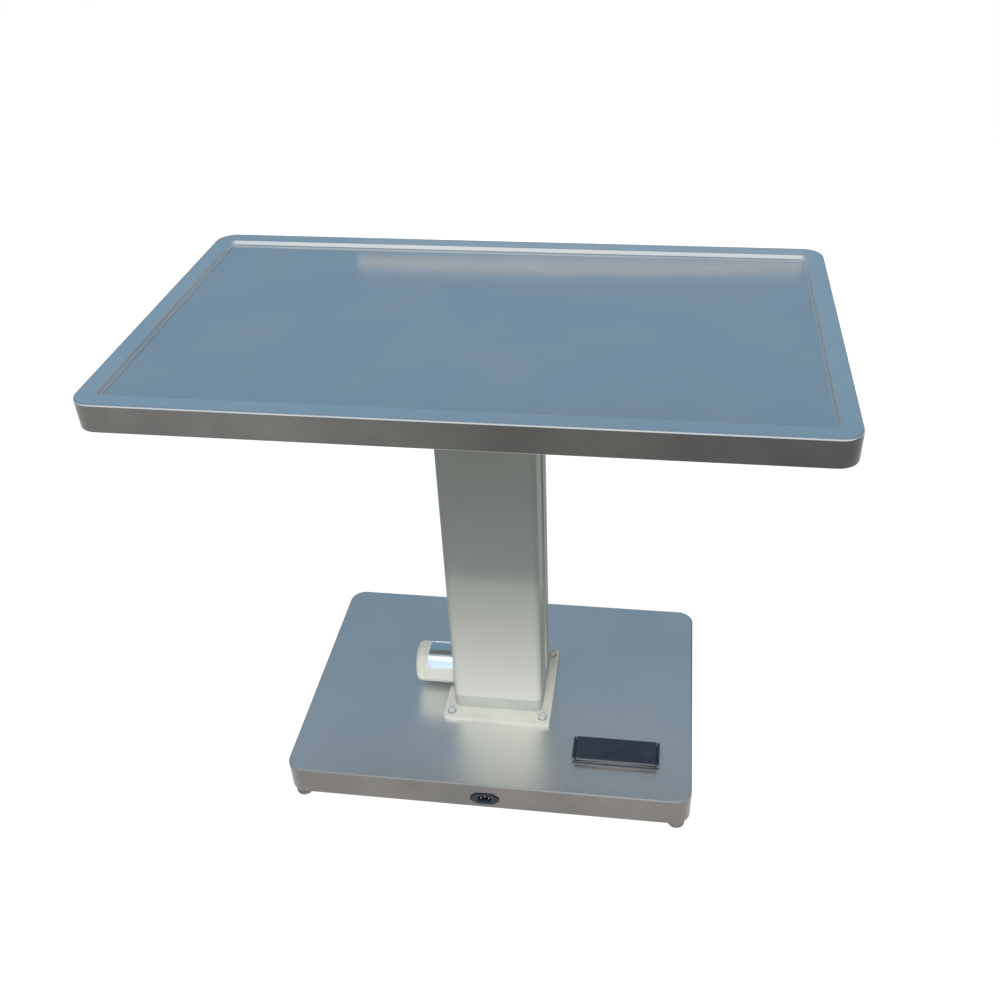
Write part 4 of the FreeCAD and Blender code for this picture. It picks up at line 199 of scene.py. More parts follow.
def chipboard():
    """Chipboard, pressed from wood chips: pale and dark flakes that lie flat, and a sanded matt face."""
    material, tree = new_material("chipboard_pressed_sanded")
    place = add(tree, "ShaderNodeTexCoord").outputs["Object"]
    flat = add(tree, "ShaderNodeMapping", {"Vector": place, "Scale": (1.0, 1.0, 3.0)})
    # flakes are 2 to 6 mm across
    flakes = add(tree, "ShaderNodeTexVoronoi", {"Vector": flat, "Scale": 1 / (4 * MM)})
    spread = add(tree, "ShaderNodeSeparateColor", {0: flakes.outputs["Color"]})
    tone = add(tree, "ShaderNodeMix", {0: spread, 6: linear("#8f6b42"), 7: linear("#c9a878")},
               data_type="RGBA")
    fibre = add(tree, "ShaderNodeTexNoise", {"Vector": place, "Scale": 1 / (0.8 * MM), "Detail": 4.0})
    bump = add(tree, "ShaderNodeBump", {"Strength": 0.6, "Distance": 0.1 * MM, "Height": fibre})
    gloss = add(tree, "ShaderNodeMapRange", {0: fibre, **GRAIN, 3: 0.7, 4: 0.9})
    shader = add(tree, "ShaderNodeBsdfPrincipled", {"Base Color": tone.outputs[2], "Roughness": gloss,
                                                    "Normal": bump})
    add(tree, "ShaderNodeOutputMaterial", {"Surface": shader})
    return material


# ---------------------------------------------------------------- finishes
# sheet steel by material slot: name, tones, roughness from and to, the waves' length and depth and the
# polish's depth in millimetres, and the tone left at the right-hand end as painted shade
SHEETS = {
    # stainless steel sheet, cold rolled and satin polished: it mirrors the room softly, with slow waves
    "satin_stainless": ("stainless_steel_sheet_satin", "steel", (0.06, 0.09), 230, 0.7, 0.0015),
    # the same sheet where it is bent down and rubbed along its length, and less of a mirror; its darker
    # tone is painted shade, and it is painted darker still towards the right-hand end
    "skirt_stainless": ("stainless_steel_skirt_brushed", "skirt", (0.26, 0.36), 90, 0.15, 0.004, 0.56),
    # stainless steel sheet, satin polished and mopped for years: a softer mirror than the tray
    "base_stainless": ("stainless_steel_base_satin", "base", (0.27, 0.34), 150, 0.25, 0.002),
    # the base's sheet where it is bent down: brushed along its length; its darker tone is painted shade, a
    # little darker again towards the right-hand end
    "base_skirt_stainless": ("stainless_steel_base_skirt_brushed", "base_skirt", (0.26, 0.36), 90, 0.15,
                             0.004, 0.95),
    # the tray's sheet where the press has turned it over a small radius: drawn matt, a soft bright line
    "edge_stainless": ("stainless_steel_pressed_edge", ("#d9dde0", "#e1e4e5"), (0.27, 0.35), 110, 0.1,
                       0.002),
    # the recess's side walls, drawn matt by the press: they catch the room's light without mirroring it,
    # and their paler tone is painted light
    "wall_stainless": ("stainless_steel_recess_wall", ("#eef0f1", "#f4f5f5"), (0.55, 0.66), 110, 0.1,
                       0.003),
    # the base's sheet where the press has turned it over: scuffed matt by feet and mops, and darker in tone
    # as painted shade that dims the lamps' highlight on the bend
    "base_edge_stainless": ("stainless_steel_scuffed_edge", ("#8e9194", "#999c9e"), (0.70, 0.80), 110, 0.1,
                            0.003),
    # the tray's flat border: a little softer, and paler as a painted sheen
    "border_stainless": ("stainless_steel_border_satin", ("#e4e6e7", "#ebebea"), (0.10, 0.15), 160, 0.2,
                         0.002),
    # thin stainless strip, bright rolled and bent round the motor's cover: nearly a mirror; its bluish tint
    # is a painted reflection of a blue sky
    "band_stainless": ("stainless_steel_band_bright", ("#d1e5f3", "#d7e9f5"), (0.22, 0.29), 60, 0.1, 0.001),
}
# the other finishes by material slot: name, darker and lighter tone, size of the blotches and of the grain
# in millimetres, and what else the pattern takes
PATTERNS = {
    # steel, powder coated ivory: nearly matt, with the faint orange peel of a sprayed coat
    "ivory_paint": ("steel_powder_coated_ivory", "#d5d5cd", "#dcdcd5", 220, 2.2,
                    dict(rough=(0.46, 0.55), relief=0.012, specular=0.3)),
    # the mount plate's coat of the same powder, a little deeper in tone as painted shade: its level face
    # takes more of the lamps than the upright column
    "plate_paint_shaded": ("steel_powder_coated_ivory_worn", "#c6c6be", "#cfcfc8", 90, 2.2,
                    dict(rough=(0.46, 0.56), relief=0.012, specular=0.3)),
    # cast iron, sprayed pale grey: a duller coat over a slightly rough casting
    "grey_blue_paint": ("cast_iron_painted_pale_grey", "#bcbfba", "#c6c9c3", 60, 1.6,
                        dict(rough=(0.42, 0.52), relief=0.04, specular=0.3)),
    # ABS, moulded: smooth and a little glossier than the paint
    "ivory_plastic": ("abs_moulded_ivory", "#dadad0", "#e2e2d9", 120, 0.9,
                      dict(rough=(0.20, 0.27), relief=0.004, coat=0.3, coat_rough=0.08)),
    # glass-filled polyamide, moulded: blue-black with a fine spark-eroded texture
    "black_plastic": ("polyamide_moulded_black", "#232a36", "#2c3440", 40, 0.7,
                      dict(rough=(0.46, 0.60), relief=0.02, specular=0.35)),
    # ABS, moulded: plain dark grey, satin
    "grey_plastic": ("abs_moulded_grey", "#40464c", "#484e54", 50, 0.8,
                     dict(rough=(0.40, 0.52), relief=0.015)),
    # rubber, moulded: mid grey and matt, with a bloom of paler grey
    "black_rubber": ("rubber_moulded_grey", "#85827e", "#9a9793", 18, 0.9, dict(rough=(0.50, 0.68))),
    # steel, zinc plated and passivated: bluish silver with a cloudy bloom
    "zinc_plated_steel": ("steel_zinc_plated", "#a3a9ad", "#bcc1c3", 14, 0.6,
                          dict(rough=(0.26, 0.40), relief=0.006, metallic=1.0, edge=0.2)),
    # steel, zinc plated long ago: the bright plating has gone pale and chalky
    "chalky_zinc": ("steel_zinc_plated_chalky", "#c9ccca", "#dcdedb", 6, 0.5,
                    dict(rough=(0.48, 0.62), relief=0.01, metallic=0.6, edge=0.2)),
    # steel tube, drawn and ground along its length: bright, with long fine lines
    "ground_steel_tube": ("steel_tube_ground", "#9da1a4", "#b3b6b8", 80, 0.5,
                          dict(stretch=(1, 1, 0.03), rough=(0.20, 0.34), relief=0.004, metallic=1.0)),
    # steel, black oxide finish: near black with an oily grey sheen
    "blackened_steel": ("steel_black_oxide", "#34383b", "#464a4d", 10, 0.5,
                        dict(rough=(0.30, 0.45), relief=0.006, metallic=1.0)),
    # acetal, machined: milky white and waxy
    "white_acetal": ("acetal_machined_white", "#d9dad6", "#e6e6e2", 20, 0.5,
                     dict(stretch=(1, 1, 0.1), rough=(0.34, 0.44), relief=0.008)),
    # aluminium, die cast and shot blasted: pale grey, evenly grainy
    "die_cast_aluminium": ("aluminium_die_cast", "#94989a", "#a6aaab", 24, 0.6,
                           dict(rough=(0.42, 0.58), metallic=1.0, edge=0.15)),
    # bronze, turned: warm yellow-brown with fine turning lines
    "bronze": ("bronze_turned", "#8c6a37", "#a98548", 12, 0.4,
               dict(stretch=(1, 1, 6), rough=(0.24, 0.36), relief=0.006, metallic=1.0)),
    # bearing steel, ground: cool and very bright
    "bearing_steel": ("bearing_steel_ground", "#9a9fa3", "#b0b4b7", 12, 0.3,
                      dict(rough=(0.12, 0.2), relief=0.002, metallic=1.0)),
    # steel bar, cold drawn and turned: bright with faint rings
    "bright_steel": ("steel_bright_turned", "#9b9ea0", "#b2b5b6", 16, 0.4,
                     dict(stretch=(1, 1, 4), rough=(0.2, 0.32), relief=0.005, metallic=1.0)),
    # ferrite, pressed and sintered: charcoal and slightly porous
    "ferrite_magnet": ("ferrite_sintered", "#2e2e30", "#3c3c3d", 9, 0.4,
                       dict(rough=(0.5, 0.68), relief=0.02)),
    # silicon steel sheets in a stack, 0.5 mm each: thin dark lines across the rotor
    "rotor_steel": ("silicon_steel_laminated", "#5c5a56", "#77736c", 10, 0.5,
                    dict(stretch=(1, 0.05, 0.05), rough=(0.35, 0.5), relief=0.02, metallic=1.0)),
    # glass-epoxy laminate with solder mask: glossy green over a faint weave
    "green_laminate": ("glass_epoxy_laminate_green", "#1d4f35", "#27633f", 8, 0.7,
                       dict(rough=(0.25, 0.38), relief=0.006, coat=0.3)),
    # PVC, extruded over a stranded core: mid grey and soft
    "grey_cable": ("pvc_extruded_grey", "#5b5e61", "#686b6e", 30, 0.9,
                   dict(rough=(0.42, 0.55), relief=0.01)),
    # spring wire, drawn and oil tempered: dark straw grey
    "spring_steel": ("spring_steel_drawn", "#6b6963", "#827f78", 6, 0.3,
                     dict(rough=(0.26, 0.4), relief=0.004, metallic=1.0)),
    # brass, nickel plated: pale warm silver
    "plated_brass": ("brass_nickel_plated", "#b3ab97", "#c6bfae", 6, 0.3,
                     dict(rough=(0.18, 0.3), relief=0.003, metallic=1.0)),
    # mild steel weld, left as laid and brushed: ripples with blue and straw heat colours
    "weld_metal": ("steel_weld_brushed", "#6d6f74", "#93908a", 5, 0.6,
                   dict(rough=(0.32, 0.5), metallic=1.0, edge=0.3)),
}
FINISHES = {}


def finish(slot):
    """The finish of a material slot, made the first time it is asked for."""
    if slot not in FINISHES:
        if slot == "chipboard":
            FINISHES[slot] = chipboard()
        elif slot in SHEETS:
            FINISHES[slot] = stainless(*SHEETS[slot])
        else:
            *plain, extra = PATTERNS[slot]
            FINISHES[slot] = patterned(*plain, **extra)
    return FINISHES[slot]


# ---------------------------------------------------------------- meshes
# the material slot that each CAD node was packed with
SLOTS = {name: piece.data.materials[0].name.split(".")[0] for name, piece in frame["nodes"].items()}


def dress(*nodes, slot=None):
    """Give CAD nodes the finish of their own slot, or of the slot that is named."""
    for node in nodes:
        materials = frame["nodes"][node].data.materials
        materials.clear()
        materials.append(finish(slot or SLOTS[node]))


def set_piece(piece, body, slot, *replaced):
    """Put a finished piece on its body, for the CAD nodes it stands for. slot is not used."""
    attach(piece, body)
    if replaced:
        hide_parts(*replaced)
    return piece


def piece_from(name, bm, materials, sharp=SHARP):
    """A mesh object from a bmesh, smooth but for edges sharper than the angle given."""
    mesh = bpy.data.meshes.new(name)
    for face in bm.faces:
        face.smooth = True
    bm.to_mesh(mesh)
    bm.free()
    mesh.set_sharp_from_angle(angle=math.radians(sharp))
    for material in materials:
        mesh.materials.append(material)
    piece = bpy.data.objects.new(name, mesh)
    bpy.context.scene.collection.objects.link(piece)
    return piece


def make_plain(piece):
    """Turn a piece with modifiers into a plain mesh."""
    bpy.context.view_layer.update()
    graph = bpy.context.evaluated_depsgraph_get()
    mesh = bpy.data.meshes.new_from_object(piece.evaluated_get(graph), depsgraph=graph)
    piece.modifiers.clear()
    piece.data = mesh


def softened(node, width):
    """A CAD node's shape with its sharp edges rounded to a width in metres, as tools and paint leave it."""
    mesh = frame["nodes"][node].data.copy()
    if "custom_normal" in mesh.attributes:
        mesh.attributes.remove(mesh.attributes["custom_normal"])
    same_place = 0.002 * MM
    same_face, least_edge = math.radians(0.4), math.radians(40)
    bm = bmesh.new()
    bm.from_mesh(mesh)
    bmesh.ops.remove_doubles(bm, verts=bm.verts, dist=same_place)
    bmesh.ops.dissolve_limit(bm, angle_limit=same_face, verts=bm.verts, edges=bm.edges)
    piece = piece_from(node + "_finished", bm, [finish(SLOTS[node])], sharp=180)
    bevel = piece.modifiers.new("edges", "BEVEL")
    bevel.width = width
    bevel.segments = 2
    bevel.limit_method = "ANGLE"
    bevel.angle_limit = least_edge
    bevel.harden_normals = False
    normals = piece.modifiers.new("normals", "WEIGHTED_NORMAL")
    normals.keep_sharp = True
    make_plain(piece)
    return set_piece(piece, frame["nodes"][node]["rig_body"], SLOTS[node], node)


def rounded_ring(half_x, half_y, radius, z, steps=12, support=0.0015):
    """Points round a level rounded rectangle, with a close point on each side of every corner."""
    points = []
    for sx, sy, start in ((1, 1, 0), (-1, 1, 90), (-1, -1, 180), (1, -1, 270)):
        for step in range(-1, steps + 2):
            turn = math.radians(start + 90 * min(max(step, 0), steps) / steps)
            x = sx * (half_x - radius) + radius * math.cos(turn)
            y = sy * (half_y - radius) + radius * math.sin(turn)
            slip = -support if step < 0 else support if step > steps else 0.0
            points.append((x - slip * math.sin(turn), y + slip * math.cos(turn), z))
    return points


def bent_line(corners, steps=6, support=0.0008):
    """A line of (inset, height) points with its corners rounded. Each corner is (inset, height, radius)."""
    result = []
    for i, (px, pz, radius) in enumerate(corners):
        point = Vector((px, pz))
        if i in (0, len(corners) - 1) or radius <= 0:
            result.append(point)
            continue
        before = (Vector(corners[i - 1][:2]) - point).normalized()
        after = (Vector(corners[i + 1][:2]) - point).normalized()
        half = before.angle(after) / 2
        reach = radius / math.tan(half)
        centre = point + (before + after).normalized() * radius / math.sin(half)
        start = point + before * reach
        end = point + after * reach
        a = start - centre
        b = end - centre
        swing = a.angle(b)
        result.append(start + before * support)
        for step in range(steps + 1):
            t = step / steps
            # an even turn from a to b
            turned = a * math.sin((1 - t) * swing) + b * math.sin(t * swing)
            result.append(centre + turned / math.sin(swing))
        result.append(end + after * support)
    return [(p.x, p.y) for p in result]


def corner_radius(table, inset):
    """The plan's corner radius at an inset, read between the pairs of a table."""
    for (a, ra), (b, rb) in zip(table, table[1:]):
        if inset <= b:
            t = 0.0 if b == a else max(0.0, (inset - a) / (b - a))
            return ra + (rb - ra) * t
    return table[-1][1]


def pressed_shell(half_x, half_y, outer, inner, radii, inner_radii):
    """A closed sheet-metal shell. outer runs from the hem's inner edge over the outside to the middle of
    the top, and inner runs from the hem's inner edge over the inside, both as (inset, height)."""
    bm = bmesh.new()

    def ring_of(inset, z, table):
        return [bm.verts.new(p) for p in rounded_ring(half_x - inset, half_y - inset,
                                                      corner_radius(table, inset), z)]

    def join(lower, upper, flip):
        count = len(lower)
        for i in range(count):
            j = (i + 1) % count
            corners = (lower[i], lower[j], upper[j], upper[i])
            bm.faces.new(corners[::-1] if flip else corners)

    out_rings = [ring_of(inset, z, radii) for inset, z in outer]
    in_rings = [ring_of(inset, z, inner_radii) for inset, z in inner]
    for lower, upper in zip(out_rings, out_rings[1:]):
        join(lower, upper, False)
    join(out_rings[0], in_rings[0], True)
    for lower, upper in zip(in_rings, in_rings[1:]):
        join(lower, upper, True)
    bm.faces.new(out_rings[-1])
    bm.faces.new(in_rings[-1][::-1])
    return bm


def skirt_lines(low_z, high_z, sheet, hem, edge):
    """How the outer and inner lines of a pressed shell start: its hem and its skirt, up to the top edge."""
    hem_bends = (1.2 * MM, 0.3 * MM)
    outer = [(hem, low_z, 0), (0, low_z, hem_bends[0]), (0, high_z, edge)]
    inner = [(hem, low_z + sheet, 0), (sheet, low_z + sheet, hem_bends[1]),
             (sheet, high_z - sheet, edge - sheet)]
    return outer, inner


def curved_sheet(x0, x1, axis_z, radius, thick, start, end, corner, steps=40):
    """A thin sheet bent round a level axis along X, from one angle to another, measured up from the front.
    Its corners are cut back by a radius."""
    bm = bmesh.new()
    columns = []
    for i in range(steps + 1):
        angle = start + (end - start) * i / steps
        reach = min(angle - start, end - angle) * math.radians(1) * radius
        inset = corner - math.sqrt(max(0.0, corner ** 2 - (corner - reach) ** 2)) if reach < corner else 0.0
        turn = math.radians(angle)
        corners = []
        for r in (radius, radius + thick):
            for x in (x0 + inset, x1 - inset):
                corners.append(bm.verts.new((x, -r * math.cos(turn), axis_z + r * math.sin(turn))))
        columns.append(corners)
    for a, b in zip(columns, columns[1:]):
        bm.faces.new((a[2], a[3], b[3], b[2]))
        bm.faces.new((a[1], a[0], b[0], b[1]))
        bm.faces.new((a[0], a[2], b[2], b[0]))
        bm.faces.new((a[3], a[1], b[1], b[3]))
    first, last = columns[0], columns[-1]
    bm.faces.new((first[0], first[1], first[3], first[2]))
    bm.faces.new((last[2], last[3], last[1], last[0]))
    bmesh.ops.recalc_face_normals(bm, faces=bm.faces)
    return bm


def box_cutter(low, high):
    """A box between two corners in millimetres, as a cutting tool."""
    bm = bmesh.new()
    bmesh.ops.create_cube(bm, size=1.0)
    size = [(b - a) * MM for a, b in zip(low, high)]
    middle = [(b + a) / 2 * MM for a, b in zip(low, high)]
    matrix = Matrix.Translation(middle) @ Matrix.Diagonal((*size, 1.0))
    bmesh.ops.transform(bm, matrix=matrix, verts=bm.verts)
    return bm


def round_cutter(centre, axis, radius, depth, sides=32):
    """A round bar through a centre in millimetres, as a cutting tool."""
    bm = bmesh.new()
    bmesh.ops.create_cone(bm, cap_ends=True, segments=sides, radius1=radius * MM, radius2=radius * MM,
                          depth=depth * MM)
    turn = Vector((0, 0, 1)).rotation_difference(Vector(axis)).to_matrix().to_4x4()
    bmesh.ops.transform(bm, matrix=Matrix.Translation([v * MM for v in centre]) @ turn, verts=bm.verts)
    return bm


def cut(piece, cutters):
    """Cut tools out of a piece."""
    whole = bpy.data.meshes.new("cutters")
    joined = bmesh.new()
    for cutter in cutters:
        part = bpy.data.meshes.new("cutter")
        cutter.to_mesh(part)
        cutter.free()
        joined.from_mesh(part)
        bpy.data.meshes.remove(part)
    joined.to_mesh(whole)
    joined.free()
    tool = bpy.data.objects.new("cutters", whole)
    bpy.context.scene.collection.objects.link(tool)
    boolean = piece.modifiers.new("cut", "BOOLEAN")
    boolean.object = tool
    boolean.operation = "DIFFERENCE"
    boolean.solver = "EXACT"
    make_plain(piece)
    bpy.data.objects.remove(tool)
    piece.data.set_sharp_from_angle(angle=math.radians(SHARP))


def four_places(x, y):
    """The places x and y either side of the middle."""
    return [(sx * x, sy * y) for sx in (-1, 1) for sy in (-1, 1)]


def assign_by(piece, index, test):
    """Give the material with that index to every face that passes the test."""
    for polygon in piece.data.polygons:
        if test(polygon.center, polygon.normal):
            polygon.material_index = index


# ---------------------------------------------------------------- geometry nodes
def new_tree(name, sockets):
    """A geometry tree with named inputs, each (name, kind, default), and the outputs that give them."""
    tree = bpy.data.node_groups.new(name, "GeometryNodeTree")
    tree.interface.new_socket("Geometry", in_out="INPUT", socket_type="NodeSocketGeometry")
    for label, kind, default in sockets:
        socket = tree.interface.new_socket(label, in_out="INPUT", socket_type="NodeSocket" + kind)
        if default is not None:
            socket.default_value = default
    tree.interface.new_socket("Geometry", in_out="OUTPUT", socket_type="NodeSocketGeometry")
    return tree, add(tree, "NodeGroupInput").outputs


def close_tree(tree, given, instances, smooth=False):
    """End a tree: make its instances real and give them the material that is put in."""
    real = add(tree, "GeometryNodeRealizeInstances", {0: instances})
    if smooth:
        real = add(tree, "GeometryNodeSetShadeSmooth", {0: real})
    coloured = add(tree, "GeometryNodeSetMaterial", {"Geometry": real, "Material": given["Material"]})
    add(tree, "NodeGroupOutput", {0: coloured})
    return tree


def grown(name, tree, values, bm=None):
    """An object whose mesh a geometry tree makes with the values given, turned plain."""
    mesh = bpy.data.meshes.new(name)
    if bm is not None:
        bm.to_mesh(mesh)
        bm.free()
    piece = bpy.data.objects.new(name, mesh)
    bpy.context.scene.collection.objects.link(piece)
    modifier = piece.modifiers.new("grow", "NODES")
    modifier.node_group = tree
    names = {item.name: item.identifier for item in tree.interface.items_tree
             if item.item_type == "SOCKET" and item.in_out == "INPUT"}
    for label, value in values.items():
        modifier[names[label]] = value
    make_plain(piece)
    if not piece.data.polygons:
        raise RuntimeError(f"{name} came out empty")
    return piece


def weld_tree():
    """Overlapping beads along every edge of the mesh that is put in."""
    tree, given = new_tree("weld_beads", [("Pitch", "Float", 0.0016), ("Radius", "Float", 0.0022),
                                          ("Seed", "Int", 7), ("Material", "Material", None)])
    curve = add(tree, "GeometryNodeMeshToCurve", {"Mesh": given["Geometry"]})
    points = add(tree, "GeometryNodeCurveToPoints", {"Curve": curve, "Length": given["Pitch"]},
                 mode="LENGTH")
    bead = add(tree, "GeometryNodeMeshUVSphere", {"Segments": 8, "Rings": 5, "Radius": given["Radius"]})
    turn = add(tree, "FunctionNodeRandomValue", {"Seed": given["Seed"], 0: (-0.5, -0.5, -3.0),
                                                 1: (0.5, 0.5, 3.0)}, data_type="FLOAT_VECTOR")
    swell = add(tree, "FunctionNodeRandomValue", {"Seed": given["Seed"], 2: 0.85, 3: 1.1},
                data_type="FLOAT")
    placed = add(tree, "GeometryNodeInstanceOnPoints", {"Points": points, "Instance": bead,
                                                        "Rotation": turn, "Scale": swell.outputs[1]})
    return close_tree(tree, given, placed, smooth=True)


def welds(name, lines, body, slot, radius):
    """Weld beads along straight lines, each a pair of points in millimetres."""
    bm = bmesh.new()
    for a, b in lines:
        bm.edges.new((bm.verts.new([v * MM for v in a]), bm.verts.new([v * MM for v in b])))
    piece = grown(name, weld_tree(), {"Pitch": 0.75 * radius, "Radius": radius, "Seed": 7,
                                      "Material": finish("weld_metal")}, bm)
    set_piece(piece, body, slot)


def rib_tree():
    """A row of round ribs, side by side along X, each as long as the pedal is wide."""
    tree, given = new_tree("tread_ribs", [
        ("Count", "Int", 20), ("Pitch", "Float", 0.0045), ("Radius", "Float", 0.0009),
        ("Length", "Float", 0.05), ("Centre", "Vector", (0, 0, 0)), ("Material", "Material", None)])
    step = add(tree, "ShaderNodeCombineXYZ", {"X": given["Pitch"]})
    line = add(tree, "GeometryNodeMeshLine", {"Count": given["Count"], "Offset": step}, mode="OFFSET")
    gaps = add(tree, "ShaderNodeMath", {0: given["Count"], 1: 1.0}, operation="SUBTRACT")
    span = add(tree, "ShaderNodeMath", {0: gaps, 1: given["Pitch"]}, operation="MULTIPLY")
    half = add(tree, "ShaderNodeMath", {0: span, 1: -0.5}, operation="MULTIPLY")
    back = add(tree, "ShaderNodeCombineXYZ", {"X": half})
    middle = add(tree, "ShaderNodeVectorMath", {0: back, 1: given["Centre"]}, operation="ADD")
    row = add(tree, "GeometryNodeSetPosition", {"Geometry": line, "Offset": middle})
    rib = add(tree, "GeometryNodeMeshCylinder", {"Vertices": 14, "Side Segments": 1,
                                                 "Radius": given["Radius"],
                                                 "Depth": given["Length"]}, fill_type="TRIANGLE_FAN")
    laid = add(tree, "GeometryNodeTransform", {"Geometry": rib, "Rotation": (math.pi / 2, 0, 0)})
    placed = add(tree, "GeometryNodeInstanceOnPoints", {"Points": row, "Instance": laid})
    return close_tree(tree, given, placed)


def knurl_tree():
    """Fine upright ribs round each point of the mesh that is put in, as on a cap screw's head."""
    tree, given = new_tree("head_knurls", [
        ("Count", "Int", 40), ("Head Radius", "Float", 0.008), ("Rib Radius", "Float", 0.0004),
        ("Height", "Float", 0.007), ("Material", "Material", None)])
    circle = add(tree, "GeometryNodeMeshCircle", {"Vertices": given["Count"],
                                                  "Radius": given["Head Radius"]})
    rib = add(tree, "GeometryNodeMeshCylinder", {"Vertices": 6, "Side Segments": 1,
                                                 "Radius": given["Rib Radius"],
                                                 "Depth": given["Height"]}, fill_type="TRIANGLE_FAN")
    head = add(tree, "GeometryNodeInstanceOnPoints", {"Points": circle, "Instance": rib})
    heads = add(tree, "GeometryNodeInstanceOnPoints", {"Points": given["Geometry"], "Instance": head})
    return close_tree(tree, given, heads)


# ---------------------------------------------------------------- properties
def colour_field(name, text, colour):
    """A colour of a finish, as sRGB hex."""
    return bpy.props.FloatVectorProperty(name=name, description=text, subtype="COLOR", size=4, min=0.0,
                                         max=1.0, default=linear(colour))


def length_field(name, text, metres):
    """A length that a user may change."""
    return bpy.props.FloatProperty(name=name, description=text, default=metres, unit="LENGTH",
                                   subtype="DISTANCE")


def power_field(name, text, watts):
    """A lamp's power."""
    return bpy.props.FloatProperty(name=name, description=text, default=watts, unit="POWER")


class ExamTableLooks(bpy.types.PropertyGroup):
    """Colours of the finishes that show most."""

    steel_deep: colour_field("Tray Steel, Deep", "Deeper tone of the tray's satin steel", "#d6d8d9")
    steel_pale: colour_field("Tray Steel, Pale", "Paler tone of the tray's satin steel", "#dddddb")
    # painted shade: the skirt tones are the tray's steel darkened where the bent sheet mirrors the floor
    skirt_deep: colour_field("Tray Skirt, Deep", "Deeper tone of the tray's brushed skirt", "#6b6a68")
    skirt_pale: colour_field("Tray Skirt, Pale", "Paler tone of the tray's brushed skirt", "#7c7b78")
    base_deep: colour_field("Base Steel, Deep", "Deeper tone of the base's satin steel", "#e6e8e9")
    base_pale: colour_field("Base Steel, Pale", "Paler tone of the base's satin steel", "#eeedea")
    # painted shade: the base skirt tones are the base's steel darkened where the bent sheet mirrors the
    # floor
    base_skirt_deep: colour_field("Base Skirt, Deep", "Deeper tone of the base's brushed skirt", "#74726f")
    base_skirt_pale: colour_field("Base Skirt, Pale", "Paler tone of the base's brushed skirt", "#84807d")


class ExamTableSizes(bpy.types.PropertyGroup):
    """Sizes of details that the pieces carry."""

    paint_edge: length_field("Painted Edge", "Width of the rounding on painted edges", 0.0008)
    moulded_edge: length_field("Moulded Edge", "Width of the rounding on moulded edges", 0.0006)
    rib_pitch: length_field("Tread Pitch", "From one tread rib of the pedal to the next", 0.0045)
    rib_rise: length_field("Tread Rise", "Height of the tread ribs above the pedal", 0.0004)
    weld_radius: length_field("Weld Radius", "Radius of a weld bead", 0.0022)
    lead_diameter: length_field("Lead Diameter", "Diameter of the leads inside the base", 0.005)


class ExamTableStage(bpy.types.PropertyGroup):
    """Levels of the lights."""

    key_power: power_field("Key Light", "Power of the soft light above the front", 76.0)
    low_power: power_field("Low Light", "Power of the soft spot that fills the foot of the column", 50.0)
    window_power: power_field("Window", "Power of the light that draws the tray's shadow", 25.0)
    back_power: power_field("Back Light", "Power of the soft light behind the table", 36.0)
    streak_power: power_field("Back Strip", "Power of the faint strip light behind the table", 0.15)
    fill: bpy.props.FloatProperty(
        name="Fill", description="Level of the even light from all round", default=0.43, min=0.0, max=2.0)
    floor_glow: bpy.props.FloatProperty(
        name="Floor Level", description="How white the floor is seen, where 1 is white", default=0.96,
        min=0.0, max=1.0)


# ---------------------------------------------------------------- stage
# the room that bright steel mirrors: how high (0 level, 1 overhead) and its colour there, dull low down at
# the back and sides, and white low down in front
ROOM = ((0.0, "#6f6c69"), (0.16, "#767879"), (0.33, "#88a4ba"), (0.50, "#88a4ba"), (0.60, "#7690a2"),
        (0.67, "#738b9f"), (0.76, "#8b9ba9"), (1.0, "#a1a9b4"))
ROOM_AHEAD = ((0.36, "#ffffff"), (0.52, "#e9f1f7"), (0.90, "#e9f5ff"), (1.0, "#a1a9b4"))
# the even light on paint and plastic, from the sides and the back, and from the front
FILL_ROUND = "#788287"
FILL_AHEAD = "#d2e8eb"
WHITE = (1, 1, 1, 1)

WARM_WHITE = (1.0, 0.99, 0.97)
# each lamp's kind, place, aim, power among the levels, colour and shape
LAMPS = {
    "key": ("AREA", (0.30, -1.48, 3.44), (0, -0.07, 0.35), "key_power", (1.0, 0.985, 0.96),
            dict(shape="RECTANGLE", size=0.9, size_y=0.62)),
    "low_front": ("SPOT", (0.25, -2.60, 1.25), (0.02, -0.25, 0.0), "low_power", WARM_WHITE,
                  dict(spot_size=math.radians(22), spot_blend=1.0, shadow_soft_size=0.15)),
    "window": ("AREA", (0.10, -2.01, 3.89), (0.0, -0.07, 0.389), "window_power", WARM_WHITE,
               dict(shape="RECTANGLE", size=0.30, size_y=0.08)),
    "behind": ("AREA", (-0.4, 3.0, 1.3), (0, 0, 0.45), "back_power", WARM_WHITE,
               dict(shape="RECTANGLE", size=1.2, size_y=1.2)),
    "back_strip": ("AREA", (-0.17, 3.5, 2.27), (0, 0.2, 0.85), "streak_power", (1.0, 0.66, 0.34),
                   dict(shape="RECTANGLE", size=2.19, size_y=0.065)),
}
FRONT_LAMPS = ("key", "low_front", "window")

CAMERA_PLACE = (0.26681354, -1.45437635, 1.57085777)
CAMERA_RIGHT = (0.99133872, 0.12868518, -0.02622344)
CAMERA_UP = (-0.05332, 0.57685725, 0.81510287)
CAMERA_LENS = 38.6857
CAMERA_SHIFT = (-0.02348, -0.00626)


def surroundings_seen(tree):
    """A Light Path node, and 1 for a ray that shows the surroundings: direct, mirrored or through glass."""
    path = add(tree, "ShaderNodeLightPath").outputs
    seen = add(tree, "ShaderNodeMath", {0: path["Is Camera Ray"], 1: path["Is Glossy Ray"]},
               operation="ADD")
    seen = add(tree, "ShaderNodeMath", {0: seen, 1: path["Is Transmission Ray"]}, operation="ADD",
               use_clamp=True)
    return path, seen


